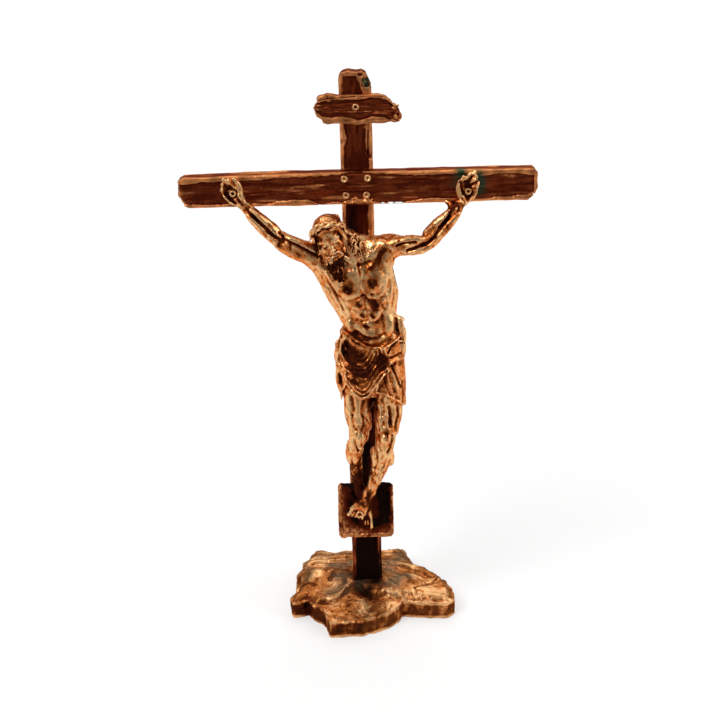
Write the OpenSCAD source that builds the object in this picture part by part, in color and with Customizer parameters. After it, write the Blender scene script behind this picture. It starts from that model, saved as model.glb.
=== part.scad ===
// Standing altar cross in cast bronze: a rock base, a hewn two-beam cross, a title plaque,
// a sloping footrest and a cast figure held by three nails.
// +Z is up, the front faces -Y, and the origin is on the table in the middle of the footprint.

/* [Cross beams] */
// Height of the upright's top above the table
cross_h = 200; // [190:1:230]
// Width of the upright
upright_w = 10.7; // [9:0.1:13]
// Depth of the upright, front to back
upright_d = 8; // [7:0.1:10]
// How far the crossbeam's middle lies below the upright's top
crossbeam_drop = 38.5; // [36:0.5:44]
// Length of the crossbeam
crossbeam_len = 121; // [108:1:140]
// Height of the crossbeam's front face
crossbeam_h = 11.2; // [10:0.1:12.5]
// Depth of the crossbeam, front to back
crossbeam_d = 7; // [6:0.1:8.5]
// How deep the crossbeam is let into the upright
housing_d = 4; // [3:0.1:5]
// Worn chamfer along the beams' long edges
beam_chamfer = 0.9; // [0.4:0.1:1.4]
// Corner broken off each lower end of the crossbeam
end_break = 3; // [1.5:0.1:4.5]
// How much lower the crossbeam's top edge is at its ends
end_wear = 1.2; // [0:0.1:2]

/* [Rock base] */
// Width of the rock base
base_w = 63; // [54:1:76]
// Depth of the rock base, front to back
base_d = 56.4; // [48:0.4:68]
// Height of the base's rim
rim_h = 6.5; // [5.5:0.1:9]
// Height of the mound at the upright's foot
mound_h = 12; // [11:0.1:15]

/* [Foot joint] */
// Depth that the upright's tenon enters the base
tenon_h = 5.5; // [4:0.1:6.5]
// Shoulder left round the tenon
tenon_shoulder = 1; // [0.6:0.1:1.6]
// Width of the level seat round the upright
seat_w = 0.8; // [0.4:0.1:1.6]
// Radius of the base screw's shank
screw_r = 2; // [1.5:0.1:2.4]
// Length of the base screw's shank
screw_len = 9.5; // [8:0.5:12]
// Radius of the base screw's head
screw_head_r = 3.4; // [3:0.1:3.8]
// Thickness of the base screw's head
screw_head_h = 2; // [1.4:0.1:2.2]
// Radius of the washer
washer_r = 4.2; // [4:0.1:5]
// Thickness of the washer
washer_t = 0.6; // [0.4:0.1:0.8]
// Depth of the counterbore under the base
counterbore_d = 3.4; // [3.2:0.1:4]

/* [Title plaque] */
// Width of the title plaque
title_w = 29.8; // [24:0.2:34]
// Height of the title plaque
title_h = 10.4; // [8:0.2:12]
// Thickness of the title plaque
title_t = 2.8; // [2:0.1:4]
// How far the plaque's middle lies below the upright's top
title_drop = 12.2; // [10:0.2:16]

/* [Footrest] */
// Width of the footrest
footrest_w = 20; // [17:0.2:24]
// Height of the footrest
footrest_h = 19.4; // [17:0.2:22]
// How far the footrest's middle lies below the figure's knees
footrest_drop = 33; // [31:0.5:36]
// Thickness of the footrest at its top edge
footrest_top_t = 2.6; // [2:0.1:3.5]
// Thickness of the footrest at its bottom edge
footrest_foot_t = 6; // [5:0.1:7.5]
// Radius of the two dowels behind the footrest
dowel_r = 1; // [0.8:0.1:1.3]

/* [Nails] */
// Radius of the crossbeam nails' heads
beam_nail_head_r = 1.25; // [1.1:0.05:1.5]
// Radius of the title nail's head
title_nail_head_r = 1.15; // [1:0.05:1.5]
// Radius of the hand nails' heads
hand_nail_head_r = 1.2; // [1:0.05:1.5]
// Radius of the feet nail's head
feet_nail_head_r = 1.45; // [1.2:0.05:1.8]
// Radius of every nail's shank
nail_r = 0.7; // [0.5:0.05:0.85]
// Thickness of every nail's head
nail_head_t = 0.7; // [0.5:0.05:0.9]
// How deep each nail bites into what it holds
nail_bite = 2.2; // [1.6:0.1:3]

/* [Figure] */
// Distance of the nail in the figure's right hand from the upright's axis
right_hand_x = 41.6; // [38:0.2:44]
// Distance of the nail in the figure's left hand from the upright's axis
left_hand_x = 36.8; // [34:0.2:40]
// Thickness of a palm under its nail
palm_t = 2.4; // [2:0.1:3]
// How far the shoulders hang below the crossbeam's middle
shoulder_drop = 19.5; // [18:0.5:22]
// Length of the trunk, from the shoulders to the hips
trunk_len = 44; // [42:0.5:46]
// Length of the thighs, from the hips to the knees
thigh_len = 22.5; // [21:0.5:24]
// Width between the shoulder joints, which sets the figure's build
shoulder_w = 23.6; // [22:0.2:25]
// Height of the head, from the chin to the crown
head_h = 14; // [13:0.2:15]

/* [Hidden] */

$fn = 32;
clear = 0.05;                                  // gap left round each nail, screw and tenon
rock_outline = [                               // the base's rim, seen from the upright's axis
    [-14.5, -25], [-8, -24.9], [-2.5, -24.6], [3, -22], [7.5, -19.5], [11.5, -15],
    [13.2, -11.6], [20, -13], [29.6, -13.6], [32.8, -10], [32.2, -3], [30, 4],
    [26.5, 9.4], [22.6, 15], [18.6, 17], [17, 24], [14.8, 31.4], [9.4, 30.4],
    [4, 29.6], [-4, 29], [-9, 29.4], [-12.8, 28], [-16.5, 31.2], [-20.5, 30.8],
    [-25.2, 20], [-28, 10], [-27.6, -2], [-29.8, -6.6], [-28.2, -10.6], [-24, -10],
    [-21, -12.6], [-17, -15.8]];
function low(points, axis) = min([for (p = points) p[axis]]);
function high(points, axis) = max([for (p = points) p[axis]]);
function span(points, axis) = high(points, axis) - low(points, axis);
base_outline = [for (p = rock_outline)
    [p.x * base_w / span(rock_outline, 0), p.y * base_d / span(rock_outline, 1)]];
upright_y = -(low(base_outline, 1) + high(base_outline, 1)) / 2;   // centres the footprint
front_y = upright_y - upright_d / 2;           // front face of the upright
beam_front_y = front_y + housing_d - crossbeam_d;   // front face of the crossbeam
foot_z = mound_h - tenon_h;                    // underside of the tenon
crossbeam_z = cross_h - crossbeam_drop;
title_z = cross_h - title_drop;
shoulder_z = crossbeam_z - shoulder_drop;
hip_z = shoulder_z - trunk_len;
knee_z = hip_z - thigh_len;
footrest_z = knee_z - footrest_drop;
footrest_low_z = footrest_z - footrest_h / 2;
reach = 60;                                    // size of the blocks that cut a piece flush

bronze = [0.62, 0.40, 0.22];
dark_bronze = [0.27, 0.14, 0.09];
worn_bronze = [0.78, 0.55, 0.36];
steel = [0.55, 0.55, 0.57];

// ---------- shared shapes ----------

function unit(v) = v / norm(v);
function mid(a, b, t) = a + (b - a) * t;
function place(row) = [row.x, row.y, row.z];

// A smooth curve through rows of numbers
function between(p0, p1, p2, p3, t) =
    0.5 * (2 * p1 + (p2 - p0) * t + (2 * p0 - 5 * p1 + 4 * p2 - p3) * t * t
           + (3 * p1 - p0 - 3 * p2 + p3) * t * t * t);
function smooth_rows(rows, steps) = let (last = len(rows) - 1) [
    for (i = [0:last - 1], k = [0:steps - 1])
        between(rows[max(i - 1, 0)], rows[i], rows[i + 1], rows[min(i + 2, last)], k / steps),
    rows[last]];

function heading(rows, i) =
    unit(place(rows[min(i + 1, len(rows) - 1)]) - place(rows[max(i - 1, 0)]));

// Two shrinking rows past an end, so that it is round; way is the direction out of that end
function end_rows(row, way) = [
    for (s = [[0.75, 0.66], [1, 0.2]])
        let (p = place(row) + way * s[0] * min(row[3], row[4]))
            [p.x, p.y, p.z, row[3] * s[1], row[4] * s[1]]];
function round_ended(rows) = let (
        last = len(rows) - 1,
        low = end_rows(rows[0], -heading(rows, 0)),
        high = end_rows(rows[last], heading(rows, last)))
    [low[1], low[0], each rows, each high];

// A closed skin through elliptical rings; each row is [x, y, z, half width, half depth]
module skin(rows, sides = 16) {
    path = round_ended(rows);
    count = len(path);
    points = [for (i = [0:count - 1])
        let (along = heading(path, i),
             side = unit(cross(along, [0, -1, 0])),
             front = cross(side, along))
        for (k = [0:sides - 1])
            place(path[i]) + side * path[i][3] * cos(360 * k / sides)
                           + front * path[i][4] * sin(360 * k / sides)];
    walls = [for (i = [0:count - 2], k = [0:sides - 1])
        let (next = (k + 1) % sides)
            [i * sides + k, i * sides + next, (i + 1) * sides + next, (i + 1) * sides + k]];
    polyhedron(points, [[for (k = [sides - 1:-1:0]) k], each walls,
                        [for (k = [0:sides - 1]) (count - 1) * sides + k]], 4);
}

// Round-ended rod between two points
module rod(a, b, ra, rb, sides = 10) {
    hull() {
        translate(a) sphere(ra, $fn = sides);
        translate(b) sphere(rb, $fn = sides);
    }
}

// A bent rod through several points, each [x, y, z, radius]
module bent_rod(points, sides = 10) {
    for (i = [0:len(points) - 2])
        rod(place(points[i]), place(points[i + 1]), points[i][3], points[i + 1][3], sides);
}

// Turns a shape drawn along +Z so that it runs along +Y, into the cross
module into_cross(x, y, z) {
    translate([x, y, z]) rotate([-90, 0, 0]) children();
}

// A nail with a dished round head; y is where its head seats, and it runs to y_end
module nail(x, y, z, head_r, y_end) {
    dish_r = head_r * 0.55;
    edge = nail_head_t * 0.4;
    into_cross(x, y, z) rotate_extrude()
        polygon([[0, y_end - y], [nail_r, y_end - y], [nail_r, 0], [head_r, 0],
                 [head_r, -nail_head_t + edge], [head_r - edge, -nail_head_t],
                 [dish_r, -nail_head_t], [dish_r - edge, -nail_head_t + edge],
                 [0, -nail_head_t + edge]]);
}

// The hole that a nail needs, with the seat that its head needs
module nail_hole(x, y, z, head_r, y_end) {
    into_cross(x, y - nail_head_t, z)
        cylinder(r = nail_r + clear, h = y_end - y + nail_head_t + clear);
    into_cross(x, y - reach, z) cylinder(r = head_r + clear, h = reach);
}

// Rectangle with chamfered corners
module chamfered(w, h, c) {
    polygon([[-w / 2 + c, -h / 2], [w / 2 - c, -h / 2], [w / 2, -h / 2 + c], [w / 2, h / 2 - c],
             [w / 2 - c, h / 2], [-w / 2 + c, h / 2], [-w / 2, h / 2 - c], [-w / 2, -h / 2 + c]]);
}

// ---------- rock base ----------

module on_axis() {
    translate([0, upright_y, 0]) children();
}

// Height of the rock's top at a point: a mound round the upright, an upland behind a lower
// front shelf, ridges of strata, and a boulder in a moat
function bump(p, at, wide) = exp(-(pow(p.x - at.x, 2) + pow(p.y - at.y, 2)) / pow(wide, 2));
function from_line(p, a, b) = norm(p - a - (b - a) * min(1, max(0, (p - a) * (b - a) / norm(b - a) ^ 2)));
function near_path(p, path, wide) = max([for (k = [0:len(path) - 2])
    exp(-pow(from_line(p, path[k], path[k + 1]) / wide, 2))]);
rim_parts = 3;                                 // facets along each side of the rim
seat_rise = 0.1;                               // how far the upright's seat stands proud
shelf_edge = [[-31, -11], [-22, -9.8], [-15, -11], [-11, -10], [-8, -7.6], [-5, -5], [-2.4, -6.4],
              [0, -9.4], [4, -10], [9, -11], [16, -12.6], [32, -13]];
strata = [[[-24, 12.4], [-19, 14.6], [-13, 13.8], [-8, 11]], [[-25, 17], [-18, 18.4], [-9, 17]],
          [[-22, 21.6], [-12, 22.4], [-1, 20.6]], [[-11, 6.6], [-9.4, 3], [-9, -1]],
          [[8.6, 6], [13, 3], [16, -1.6]], [[8, 11], [13, 10], [19, 7.4]],
          [[6.4, 16], [12, 15.4], [17, 12.4]]];
moat = [[-24, 12.6], [-17, 12.4], [-12.4, 8.6], [-12, 3], [-13.4, -1.6], [-18, -4.4]];
boulder_shape = [[0, 1], [0.5, 0.95], [0.76, 0.76], [0.94, 0.42], [1.08, 0]];
function boulder(p) = lookup(norm([(p.x + 18.7) / 6, (p.y - 4.2) / 7.4]), boulder_shape);
function upland(p) = min(1, max(0, (p.y - lookup(p.x, shelf_edge)) / 4.6 + 0.45));
function strata_rise(p) = 0.9 * max([for (path = strata) near_path(p, path, 1.7)]);
function rock_z(p, share) = let (inland = 1 - pow(share, 12))
    min(mound_h - seat_rise, rim_h + (mound_h - rim_h - 1.6) * bump(p, [0, 1], 13)
        + 0.8 * bump(p, [14, -2], 7) + inland * (1.9 * upland(p) + strata_rise(p)
        - 1.2 * near_path(p, moat, 1.8) + 2.9 * boulder(p)));

// The rock in rings, each a share of the way out from the upright's axis to the rim
module rock_mound() {
    shares = [1, 0.96, 0.9, 0.84, 0.78, 0.72, 0.66, 0.6, 0.54, 0.48, 0.41, 0.34, 0.26, 0.18];
    rim = [for (k = [0:len(base_outline) - 1], part = [0:rim_parts - 1])
        let (from = base_outline[k], to = base_outline[(k + 1) % len(base_outline)])
            from + (to - from) * part / rim_parts];
    sides = len(rim);
    count = len(shares) + 1;
    points = [for (p = rim) [p.x, p.y, 0],
              for (s = shares) for (p = rim) [p.x * s, p.y * s, rock_z(p * s, s)]];
    walls = [for (i = [0:count - 2], k = [0:sides - 1])
        let (next = (k + 1) % sides)
            each [[i * sides + k, (i + 1) * sides + next, i * sides + next],
                  [i * sides + k, (i + 1) * sides + k, (i + 1) * sides + next]]];
    top = count * sides;                       // middles of the top and of the foot
    polyhedron(concat(points, [[0, 0, mound_h - seat_rise], [0, 0, 0]]),
               [each walls, for (k = [0:sides - 1]) let (next = (k + 1) % sides)
                   each [[top - sides + k, top, top - sides + next], [k, next, top + 1]]], 4);
}

module base_rock() {
    color(bronze) on_axis() difference() {
        union() {
            rock_mound();
            translate([0, 0, rim_h / 2]) linear_extrude(mound_h - rim_h / 2)   // level seat
                chamfered(upright_w + 2 * seat_w, upright_d + 2 * seat_w, seat_w);
        }
        translate([0, 0, mound_h / 2 + foot_z])
            cube([upright_w - 2 * tenon_shoulder + 2 * clear,
                  upright_d - 2 * tenon_shoulder + 2 * clear, mound_h], center = true);
        translate([0, 0, -clear]) {
            cylinder(r = screw_r + clear, h = mound_h);
            cylinder(r = washer_r + 2 * clear, h = counterbore_d + clear);
        }
    }
}

module base_screw() {
    head_z = counterbore_d - washer_t;
    slot_w = 0.8;
    color(steel) on_axis() difference() {
        union() {
            translate([0, 0, head_z - screw_head_h]) cylinder(r = screw_head_r, h = screw_head_h);
            translate([0, 0, head_z - screw_head_h / 2])
                cylinder(r = screw_r, h = screw_head_h / 2 + screw_len);
        }
        translate([0, 0, head_z - screw_head_h])
            cube([2.2 * screw_head_r, slot_w, screw_head_h], center = true);
    }
}

module base_washer() {
    color(steel) on_axis() translate([0, 0, counterbore_d - washer_t]) difference() {
        cylinder(r = washer_r, h = washer_t);
        translate([0, 0, -clear]) cylinder(r = screw_r + clear, h = washer_t + 2 * clear);
    }
}

// ---------- cross ----------

beam_nails = [                                 // offsets from the middle of the crossing
    [-4.4, 3.4], [3.4, 3.5], [-4.0, -2.2], [2.9, -2.2]];
beam_nail_end_y = front_y + housing_d + nail_bite;

module upright() {
    slope = [[-upright_w / 2, cross_h - 3.2], [-upright_w / 2 + 1.6, cross_h - 0.4],
             [-1, cross_h], [2.6, cross_h - 0.6], [4.2, cross_h - 2.6],
             [upright_w / 2, cross_h - 5.4]];
    color(dark_bronze) difference() {
        on_axis() {
            intersection() {
                translate([0, 0, mound_h]) linear_extrude(cross_h - mound_h)
                    chamfered(upright_w, upright_d, beam_chamfer);
                into_cross(0, -upright_d, 0) mirror([0, 1, 0]) linear_extrude(2 * upright_d)
                    polygon(concat(slope, [[upright_w / 2, 0], [-upright_w / 2, 0]]));
            }
            translate([0, 0, foot_z + tenon_h / 2 + clear / 2])
                cube([upright_w - 2 * tenon_shoulder, upright_d - 2 * tenon_shoulder,
                      tenon_h + clear], center = true);
        }
        translate([-upright_w, front_y - clear, crossbeam_z - crossbeam_h / 2])
            cube([2 * upright_w, housing_d + clear, crossbeam_h]);
        on_axis() cylinder(r = screw_r + clear, h = counterbore_d - washer_t + screw_len + 1);
        for (p = beam_nails)
            into_cross(p.x, front_y, crossbeam_z + p.y)
                cylinder(r = nail_r + clear, h = housing_d + nail_bite + clear);
        into_cross(0, front_y - clear, title_nail_z)
            cylinder(r = nail_r + clear, h = nail_bite + 2 * clear);
        into_cross(feet_nail_x, front_y - clear, feet_nail_z)
            cylinder(r = nail_r + clear, h = nail_bite + 2 * clear);
        for (s = [-1, 1]) into_cross(0, front_y - clear, footrest_z + s * dowel_spread)
            cylinder(r = dowel_r + clear, h = nail_bite + 2 * clear);
    }
}

module crossbeam_block() {
    l = crossbeam_len / 2;
    h = crossbeam_h / 2;
    intersection() {
        into_cross(0, beam_front_y, crossbeam_z) linear_extrude(crossbeam_d)
            polygon([[-l, -h + end_wear + 1], [-l + 1, -h + end_wear], [-l / 2, -h],
                     [l / 2, -h], [l - 0.6, -h + end_wear], [l, -h + end_wear + 0.6],
                     [l, h - end_break * 1.3], [l - end_break, h],
                     [-l + end_break * 1.2, h], [-l + end_break * 0.6, h - end_break]]);
        translate([-l, beam_front_y + crossbeam_d / 2, crossbeam_z]) rotate([90, 0, 90])
            linear_extrude(crossbeam_len) chamfered(crossbeam_d, crossbeam_h, beam_chamfer);
    }
}

module crossbeam() {
    color(dark_bronze) difference() {
        crossbeam_block();
        for (p = beam_nails) nail_hole(p.x, beam_front_y, crossbeam_z + p.y,
                                       beam_nail_head_r, beam_nail_end_y);
        for (x = [-right_hand_x, left_hand_x]) into_cross(x, beam_front_y - clear, hand_nail_z(x))
            cylinder(r = nail_r + clear, h = nail_bite + 2 * clear);
    }
}

module crossbeam_nails() {
    color(worn_bronze) for (p = beam_nails)
        nail(p.x, beam_front_y, crossbeam_z + p.y, beam_nail_head_r, beam_nail_end_y);
}

// ---------- title plaque ----------

title_outline = [                              // offsets from the plaque's middle
    [-14.6, 0.4], [-14.1, 2.6], [-12.6, 3.3], [-12.4, 4.8], [-11.2, 5.4], [-6, 4.4], [0, 4.4],
    [6.4, 4.9], [9, 4.8], [10.8, 3.8], [12.2, 2.4], [12.4, 0.8], [14, -0.8], [15.2, -2.8],
    [14.8, -4.6], [12.8, -4.5], [9, -5], [0, -4.8], [-8.6, -4.6], [-11.2, -4], [-12.4, -2],
    [-13.8, -1.2]];
title_plate = [for (p = title_outline) [p.x * title_w / span(title_outline, 0),
                                        -p.y * title_h / span(title_outline, 1)]];
title_x = 0.4;                                 // the plaque sits a little to the right
title_nail_z = title_z + 0.9;

module title_plaque() {
    color(dark_bronze) difference() {
        into_cross(title_x, front_y - title_t, title_z) linear_extrude(title_t)
            polygon(title_plate);
        nail_hole(0, front_y - title_t, title_nail_z, title_nail_head_r, front_y + nail_bite);
    }
}

module title_nail() {
    color(worn_bronze)
        nail(0, front_y - title_t, title_nail_z, title_nail_head_r, front_y + nail_bite);
}

// ---------- footrest ----------

dowel_spread = footrest_h / 2 - 3;
function footrest_t(z) = mid(footrest_foot_t, footrest_top_t,
                             (z - footrest_low_z) / footrest_h);

module footrest_block() {
    h = footrest_h / 2;
    corner = 1.4;
    intersection() {
        into_cross(0, front_y - footrest_foot_t, footrest_z) linear_extrude(footrest_foot_t)
            chamfered(footrest_w, footrest_h, corner);
        translate([-footrest_w / 2, front_y, footrest_z]) rotate([90, 0, 90])
            linear_extrude(footrest_w)
                polygon([[0, -h], [0.6 - footrest_foot_t, -h], [-footrest_foot_t, 0.6 - h],
                         [-footrest_top_t, h], [0, h]]);
    }
}

module footrest() {
    color(dark_bronze) difference() {
        footrest_block();
        into_cross(feet_nail_x, front_y - footrest_foot_t - clear, feet_nail_z)
            cylinder(r = nail_r + clear, h = footrest_foot_t + 2 * clear);
        for (s = [-1, 1]) into_cross(0, front_y - dowel_bite, footrest_z + s * dowel_spread)
            cylinder(r = dowel_r + clear, h = dowel_bite + clear);
    }
}

dowel_bite = footrest_top_t * 0.6;
module footrest_dowels() {
    color(steel) for (s = [-1, 1])
        into_cross(0, front_y - dowel_bite + clear, footrest_z + s * dowel_spread)
            cylinder(r = dowel_r, h = dowel_bite + nail_bite - clear);
}

// ---------- figure ----------
// Points of the figure are [x, distance in front of the upright, z], in the figure's own build.

build = shoulder_w / 23.6;
function fore(x, out, z) = [x * build, front_y - out * build, z];
function fore_row(x, out, z, a, b) = [x * build, front_y - out * build, z, a * build, b * build];
function sized(row) = [for (v = row) v * build];

feet_nail_x = -2.3;
feet_nail_z = footrest_z + 1.6;
foot_t = 5.6 * build;                          // thickness of both feet under the nail
feet_nail_seat_y = front_y - footrest_t(feet_nail_z) - foot_t;

// Heights along the body follow the shoulders, hips, knees and footrest
function chest_at(t) = mid(hip_z, shoulder_z, t);
function thigh_at(t) = mid(hip_z, knee_z, t);
ankle_z = footrest_z + 7.5 * build;
function shin_at(t) = mid(knee_z, ankle_z, t);
function by_shoulder(rise) = shoulder_z + rise * build;

torso_rows = [
    fore_row(3.0, 7.0, chest_at(-0.12), 8.0, 5.4), fore_row(3.2, 7.2, chest_at(0.04), 9.6, 6.2),
    fore_row(3.5, 7.0, chest_at(0.20), 9.0, 6.1), fore_row(3.4, 6.6, chest_at(0.36), 8.4, 5.6),
    fore_row(2.9, 7.0, chest_at(0.48), 8.8, 5.7), fore_row(1.8, 7.3, chest_at(0.62), 10.5, 6.1),
    fore_row(0.9, 7.3, chest_at(0.76), 11.5, 6.2), fore_row(-0.4, 7.0, chest_at(0.88), 11.7, 5.6),
    fore_row(-1.4, 6.6, chest_at(0.97), 10.6, 4.6), fore_row(-1.8, 6.2, chest_at(1.03), 8, 3.4)];
chest_muscles = [                              // rows out from the breastbone to each shoulder
    [[-3.7, 10.6, -12.4, 4], [-6.6, 10.2, -10.6, 4.1], [-10.2, 9.2, -7, 3.5],
     [-13.4, 8.6, -3.6, 3]],
    [[4.3, 10.8, -11.2, 4.2], [7.2, 10.4, -9.6, 4.1], [9.4, 9.4, -6, 3.5], [10.6, 8.6, -1.6, 3]]];
belly_muscles = [                              // rows down the belly and each side of the waist
    [[-0.7, 10.4, 0.62, 3.2, 2.3], [0.2, 10.9, 0.5, 3, 2.2], [0.9, 10.6, 0.4, 2.7, 2.2],
     [1.5, 10.1, 0.31, 2.8, 2.6]],
    [[4.8, 10.7, 0.62, 3.2, 2.3], [4.6, 11, 0.5, 3, 2.2], [4.9, 10.6, 0.4, 2.8, 2.2],
     [5, 10.1, 0.31, 2.8, 2.6]],
    [[-6.2, 7.8, 0.62, 2.6, 2.4], [-4.1, 8, 0.5, 2.4, 2.6], [-1.9, 8, 0.39, 2.7, 3.5],
     [-0.8, 8, 0.3, 2.6, 3]],
    [[9.2, 8.6, 0.64, 2.6, 2.4], [8.6, 8.9, 0.5, 2.6, 2.6], [9.2, 8.4, 0.4, 2.8, 3.6],
     [8.4, 8.2, 0.3, 2.7, 3]]];
neck_rows = [fore_row(-1.6, 6.6, by_shoulder(-3), 4.4, 3.9),
             fore_row(-3.2, 8.0, by_shoulder(2), 3.4, 3.4),
             fore_row(-6, 9.6, by_shoulder(5.5), 3.2, 3.4)];
girdle_rows = [
    fore_row(-15.5, 7.2, by_shoulder(-2.6), 4.1, 3.9), fore_row(-11, 7.3, by_shoulder(-1.4), 4.7, 4.4),
    fore_row(-5.5, 7, by_shoulder(-1.2), 4.9, 4.7), fore_row(0, 7, by_shoulder(-2.2), 4.9, 4.9),
    fore_row(5, 7.2, by_shoulder(-1.2), 4.7, 4.6), fore_row(10.5, 7.4, by_shoulder(0.4), 4.3, 4)];
right_flank_rows = [
    fore_row(-15, 6.4, by_shoulder(-3.4), 3, 3), fore_row(-10.6, 6, by_shoulder(-8), 3.2, 3.6),
    fore_row(-7.4, 5.6, chest_at(0.68), 3, 4.4), fore_row(-4.6, 5.2, chest_at(0.46), 2, 4)];
left_flank_rows = [
    fore_row(9.6, 6.4, by_shoulder(-2.6), 2.6, 3), fore_row(10, 6, chest_at(0.76), 2.8, 4),
    fore_row(9.8, 5.6, chest_at(0.62), 2.8, 4.2), fore_row(9.6, 5.4, chest_at(0.44), 2.2, 4)];
right_leg_rows = [
    fore_row(-1.4, 7.4, thigh_at(-0.1), 5.4, 5.6), fore_row(-1.9, 9, thigh_at(0.35), 5.1, 5.3),
    fore_row(-1.9, 10.8, thigh_at(0.72), 4.2, 4.4), fore_row(-1.7, 12, knee_z, 3.7, 3.9),
    fore_row(-2.6, 10.6, shin_at(0.24), 3.6, 3.8), fore_row(-3.1, 8.8, shin_at(0.5), 3, 3.3),
    fore_row(-2.6, 7, shin_at(0.78), 2.2, 2.4), fore_row(-1.4, 5.9, shin_at(1), 2.1, 2.3)];
left_leg_rows = [
    fore_row(8.2, 7.4, thigh_at(-0.1), 5.6, 5.7), fore_row(8.9, 9.4, thigh_at(0.35), 5.1, 5.4),
    fore_row(8.5, 11.6, thigh_at(0.72), 4.4, 4.6), fore_row(7.8, 13.2, knee_z, 3.8, 4),
    fore_row(7.6, 12.2, shin_at(0.24), 3.6, 3.8), fore_row(6.5, 11, shin_at(0.48), 3.4, 3.5),
    fore_row(4.6, 9.8, shin_at(0.74), 2.6, 2.7), fore_row(2.5, 8.6, shin_at(1), 2.2, 2.4)];

// The soles lie on the sloping footrest, the left foot over the right
function on_footrest(x, rise, lift) = let (z = footrest_z + rise * build)
    [x * build, front_y - footrest_t(z) - lift * build, z];
right_heel = on_footrest(-0.8, 5.6, 1.6);
right_ball = on_footrest(1.6, -1.6, 1.4);
left_heel = on_footrest(1.6, 6.4, 4);
left_ball = on_footrest(-3.4, -0.2, 4.1);

module foot(heel, ball, inner) {
    foot_w = 5.2 * build;
    toe_len = 2.9 * build;
    way = unit(ball - heel);
    side = unit(cross(way, [0, -1, 0])) * inner;
    hull() {
        translate(heel) sphere(2.1 * build, $fn = 12);
        for (s = [-0.3, 0.3]) translate(ball + side * s * foot_w) sphere(1.3 * build, $fn = 12);
    }
    for (k = [0:4]) let (
            r = (k == 0 ? 0.96 : 0.74) * build,
            root = ball + side * (0.5 - k / 4) * foot_w * 0.8,
            tip = root + way * toe_len * (1 - 0.1 * k) + [0, 0.25 * build, 0])
        rod(root, tip, r, r * 0.9, 8);
}

module corpus_solid() {
    skin(smooth_rows(torso_rows, 2), 24);
    skin(smooth_rows(neck_rows, 2), 16);
    skin(smooth_rows(girdle_rows, 2), 16);
    skin(smooth_rows(right_flank_rows, 2), 12);
    skin(smooth_rows(left_flank_rows, 2), 12);
    for (rows = chest_muscles)
        skin(smooth_rows([for (p = rows) fore_row(p.x, p.y, by_shoulder(p.z), p[3], p[3])], 2), 16);
    for (rows = belly_muscles)
        skin(smooth_rows([for (p = rows) fore_row(p.x, p.y, chest_at(p.z), p[3], p[4])], 2), 12);
    skin(smooth_rows(right_leg_rows, 2), 16);
    skin(smooth_rows(left_leg_rows, 2), 16);
    foot(right_heel, right_ball, -1);
    foot(left_heel, left_ball, 1);
}

// The arms meet the body on a plane through each shoulder
shoulder_slope = 12;
right_shoulder = fore(-14, 7.4, by_shoulder(-2));
left_shoulder = fore(9.6, 7.4, by_shoulder(0.4));
module beyond_shoulder(at, side) {
    translate(at) rotate([0, -side * shoulder_slope, 0])
        translate([side > 0 ? 0 : -reach, -reach / 2, -8 * build])
            cube([reach, reach, reach / 2]);
}

module behind_figure() {
    translate([-reach, front_y, 0]) cube([2 * reach, reach, cross_h]);
}

module corpus_body() {
    color(bronze) difference() {
        corpus_solid();
        behind_figure();
        footrest_block();
        beyond_shoulder(right_shoulder, -1);
        beyond_shoulder(left_shoulder, 1);
        nail_hole(feet_nail_x, feet_nail_seat_y, feet_nail_z, feet_nail_head_r, front_y);
    }
}

module feet_nail() {
    color(worn_bronze) nail(feet_nail_x, feet_nail_seat_y, feet_nail_z, feet_nail_head_r,
                            front_y + nail_bite);
}

// ---------- arms ----------

function hand_nail_z(x) = crossbeam_z + (x < 0 ? 0 : -1.3);
hand_seat_y = beam_front_y - palm_t;
palm_y = beam_front_y - palm_t / 2;

// A hand lying on the crossbeam: up is the way the fingers point, side carries the thumb
module hand(nail_x, nail_z, up, side) {
    flat = [nail_x, palm_y, nail_z];
    along = up * build;
    across = side * build;
    wrist = flat - along * 3.5 + [0, -0.4, 0];
    knuckle = flat + along * 2.3;
    thick = palm_t / 2 + 0.1;
    hull() {
        translate(wrist) sphere(1.5 * build, $fn = 12);
        for (s = [-1, 1]) translate(knuckle + across * s * 2) sphere(thick, $fn = 12);
        for (s = [-1, 1]) translate(flat + across * s * 1.8) sphere(thick, $fn = 12);
    }
    for (k = [0:3]) let (
            long = [2.3, 2.6, 2.3, 1.7][k],
            root = knuckle + across * (2.2 - 1.4 * k),
            joint = root + along * long + [0, -0.9 * build, 0] + across * 0.1 * (2 - k),
            tip = joint + along * long * 0.55 + [0, 0.1, 0] - across * 0.3)
        bent_rod([[each root, 0.85 * build], [each joint, 0.78 * build],
                  [each tip, 0.66 * build]], 8);
    thumb_root = flat - along * 1.6 + across * 1.8 + [0, -0.4, 0];
    thumb_joint = flat + along * 0.8 + across * 3.6 + [0, -0.5, 0];
    bent_rod([[each thumb_root, build], [each thumb_joint, 0.85 * build],
              [each (thumb_joint + along * 2.6 - across * 0.2), 0.68 * build]], 8);
}

module arm(rows, nail_x, up, side, shoulder, outward) {
    difference() {
        union() {
            skin(smooth_rows(rows, 2), 16);
            hand(nail_x, hand_nail_z(nail_x), up, side);
        }
        crossbeam_block();
        translate([-reach, beam_front_y, crossbeam_z - crossbeam_h / 2 - 2])
            cube([2 * reach, reach, reach]);
        translate(shoulder) rotate([0, -outward * shoulder_slope, 0])
            translate([outward > 0 ? -reach : 0, -reach / 2, -reach / 2]) cube(reach);
        nail_hole(nail_x, hand_seat_y, hand_nail_z(nail_x), hand_nail_head_r,
                  beam_front_y + clear);
    }
}

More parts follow.
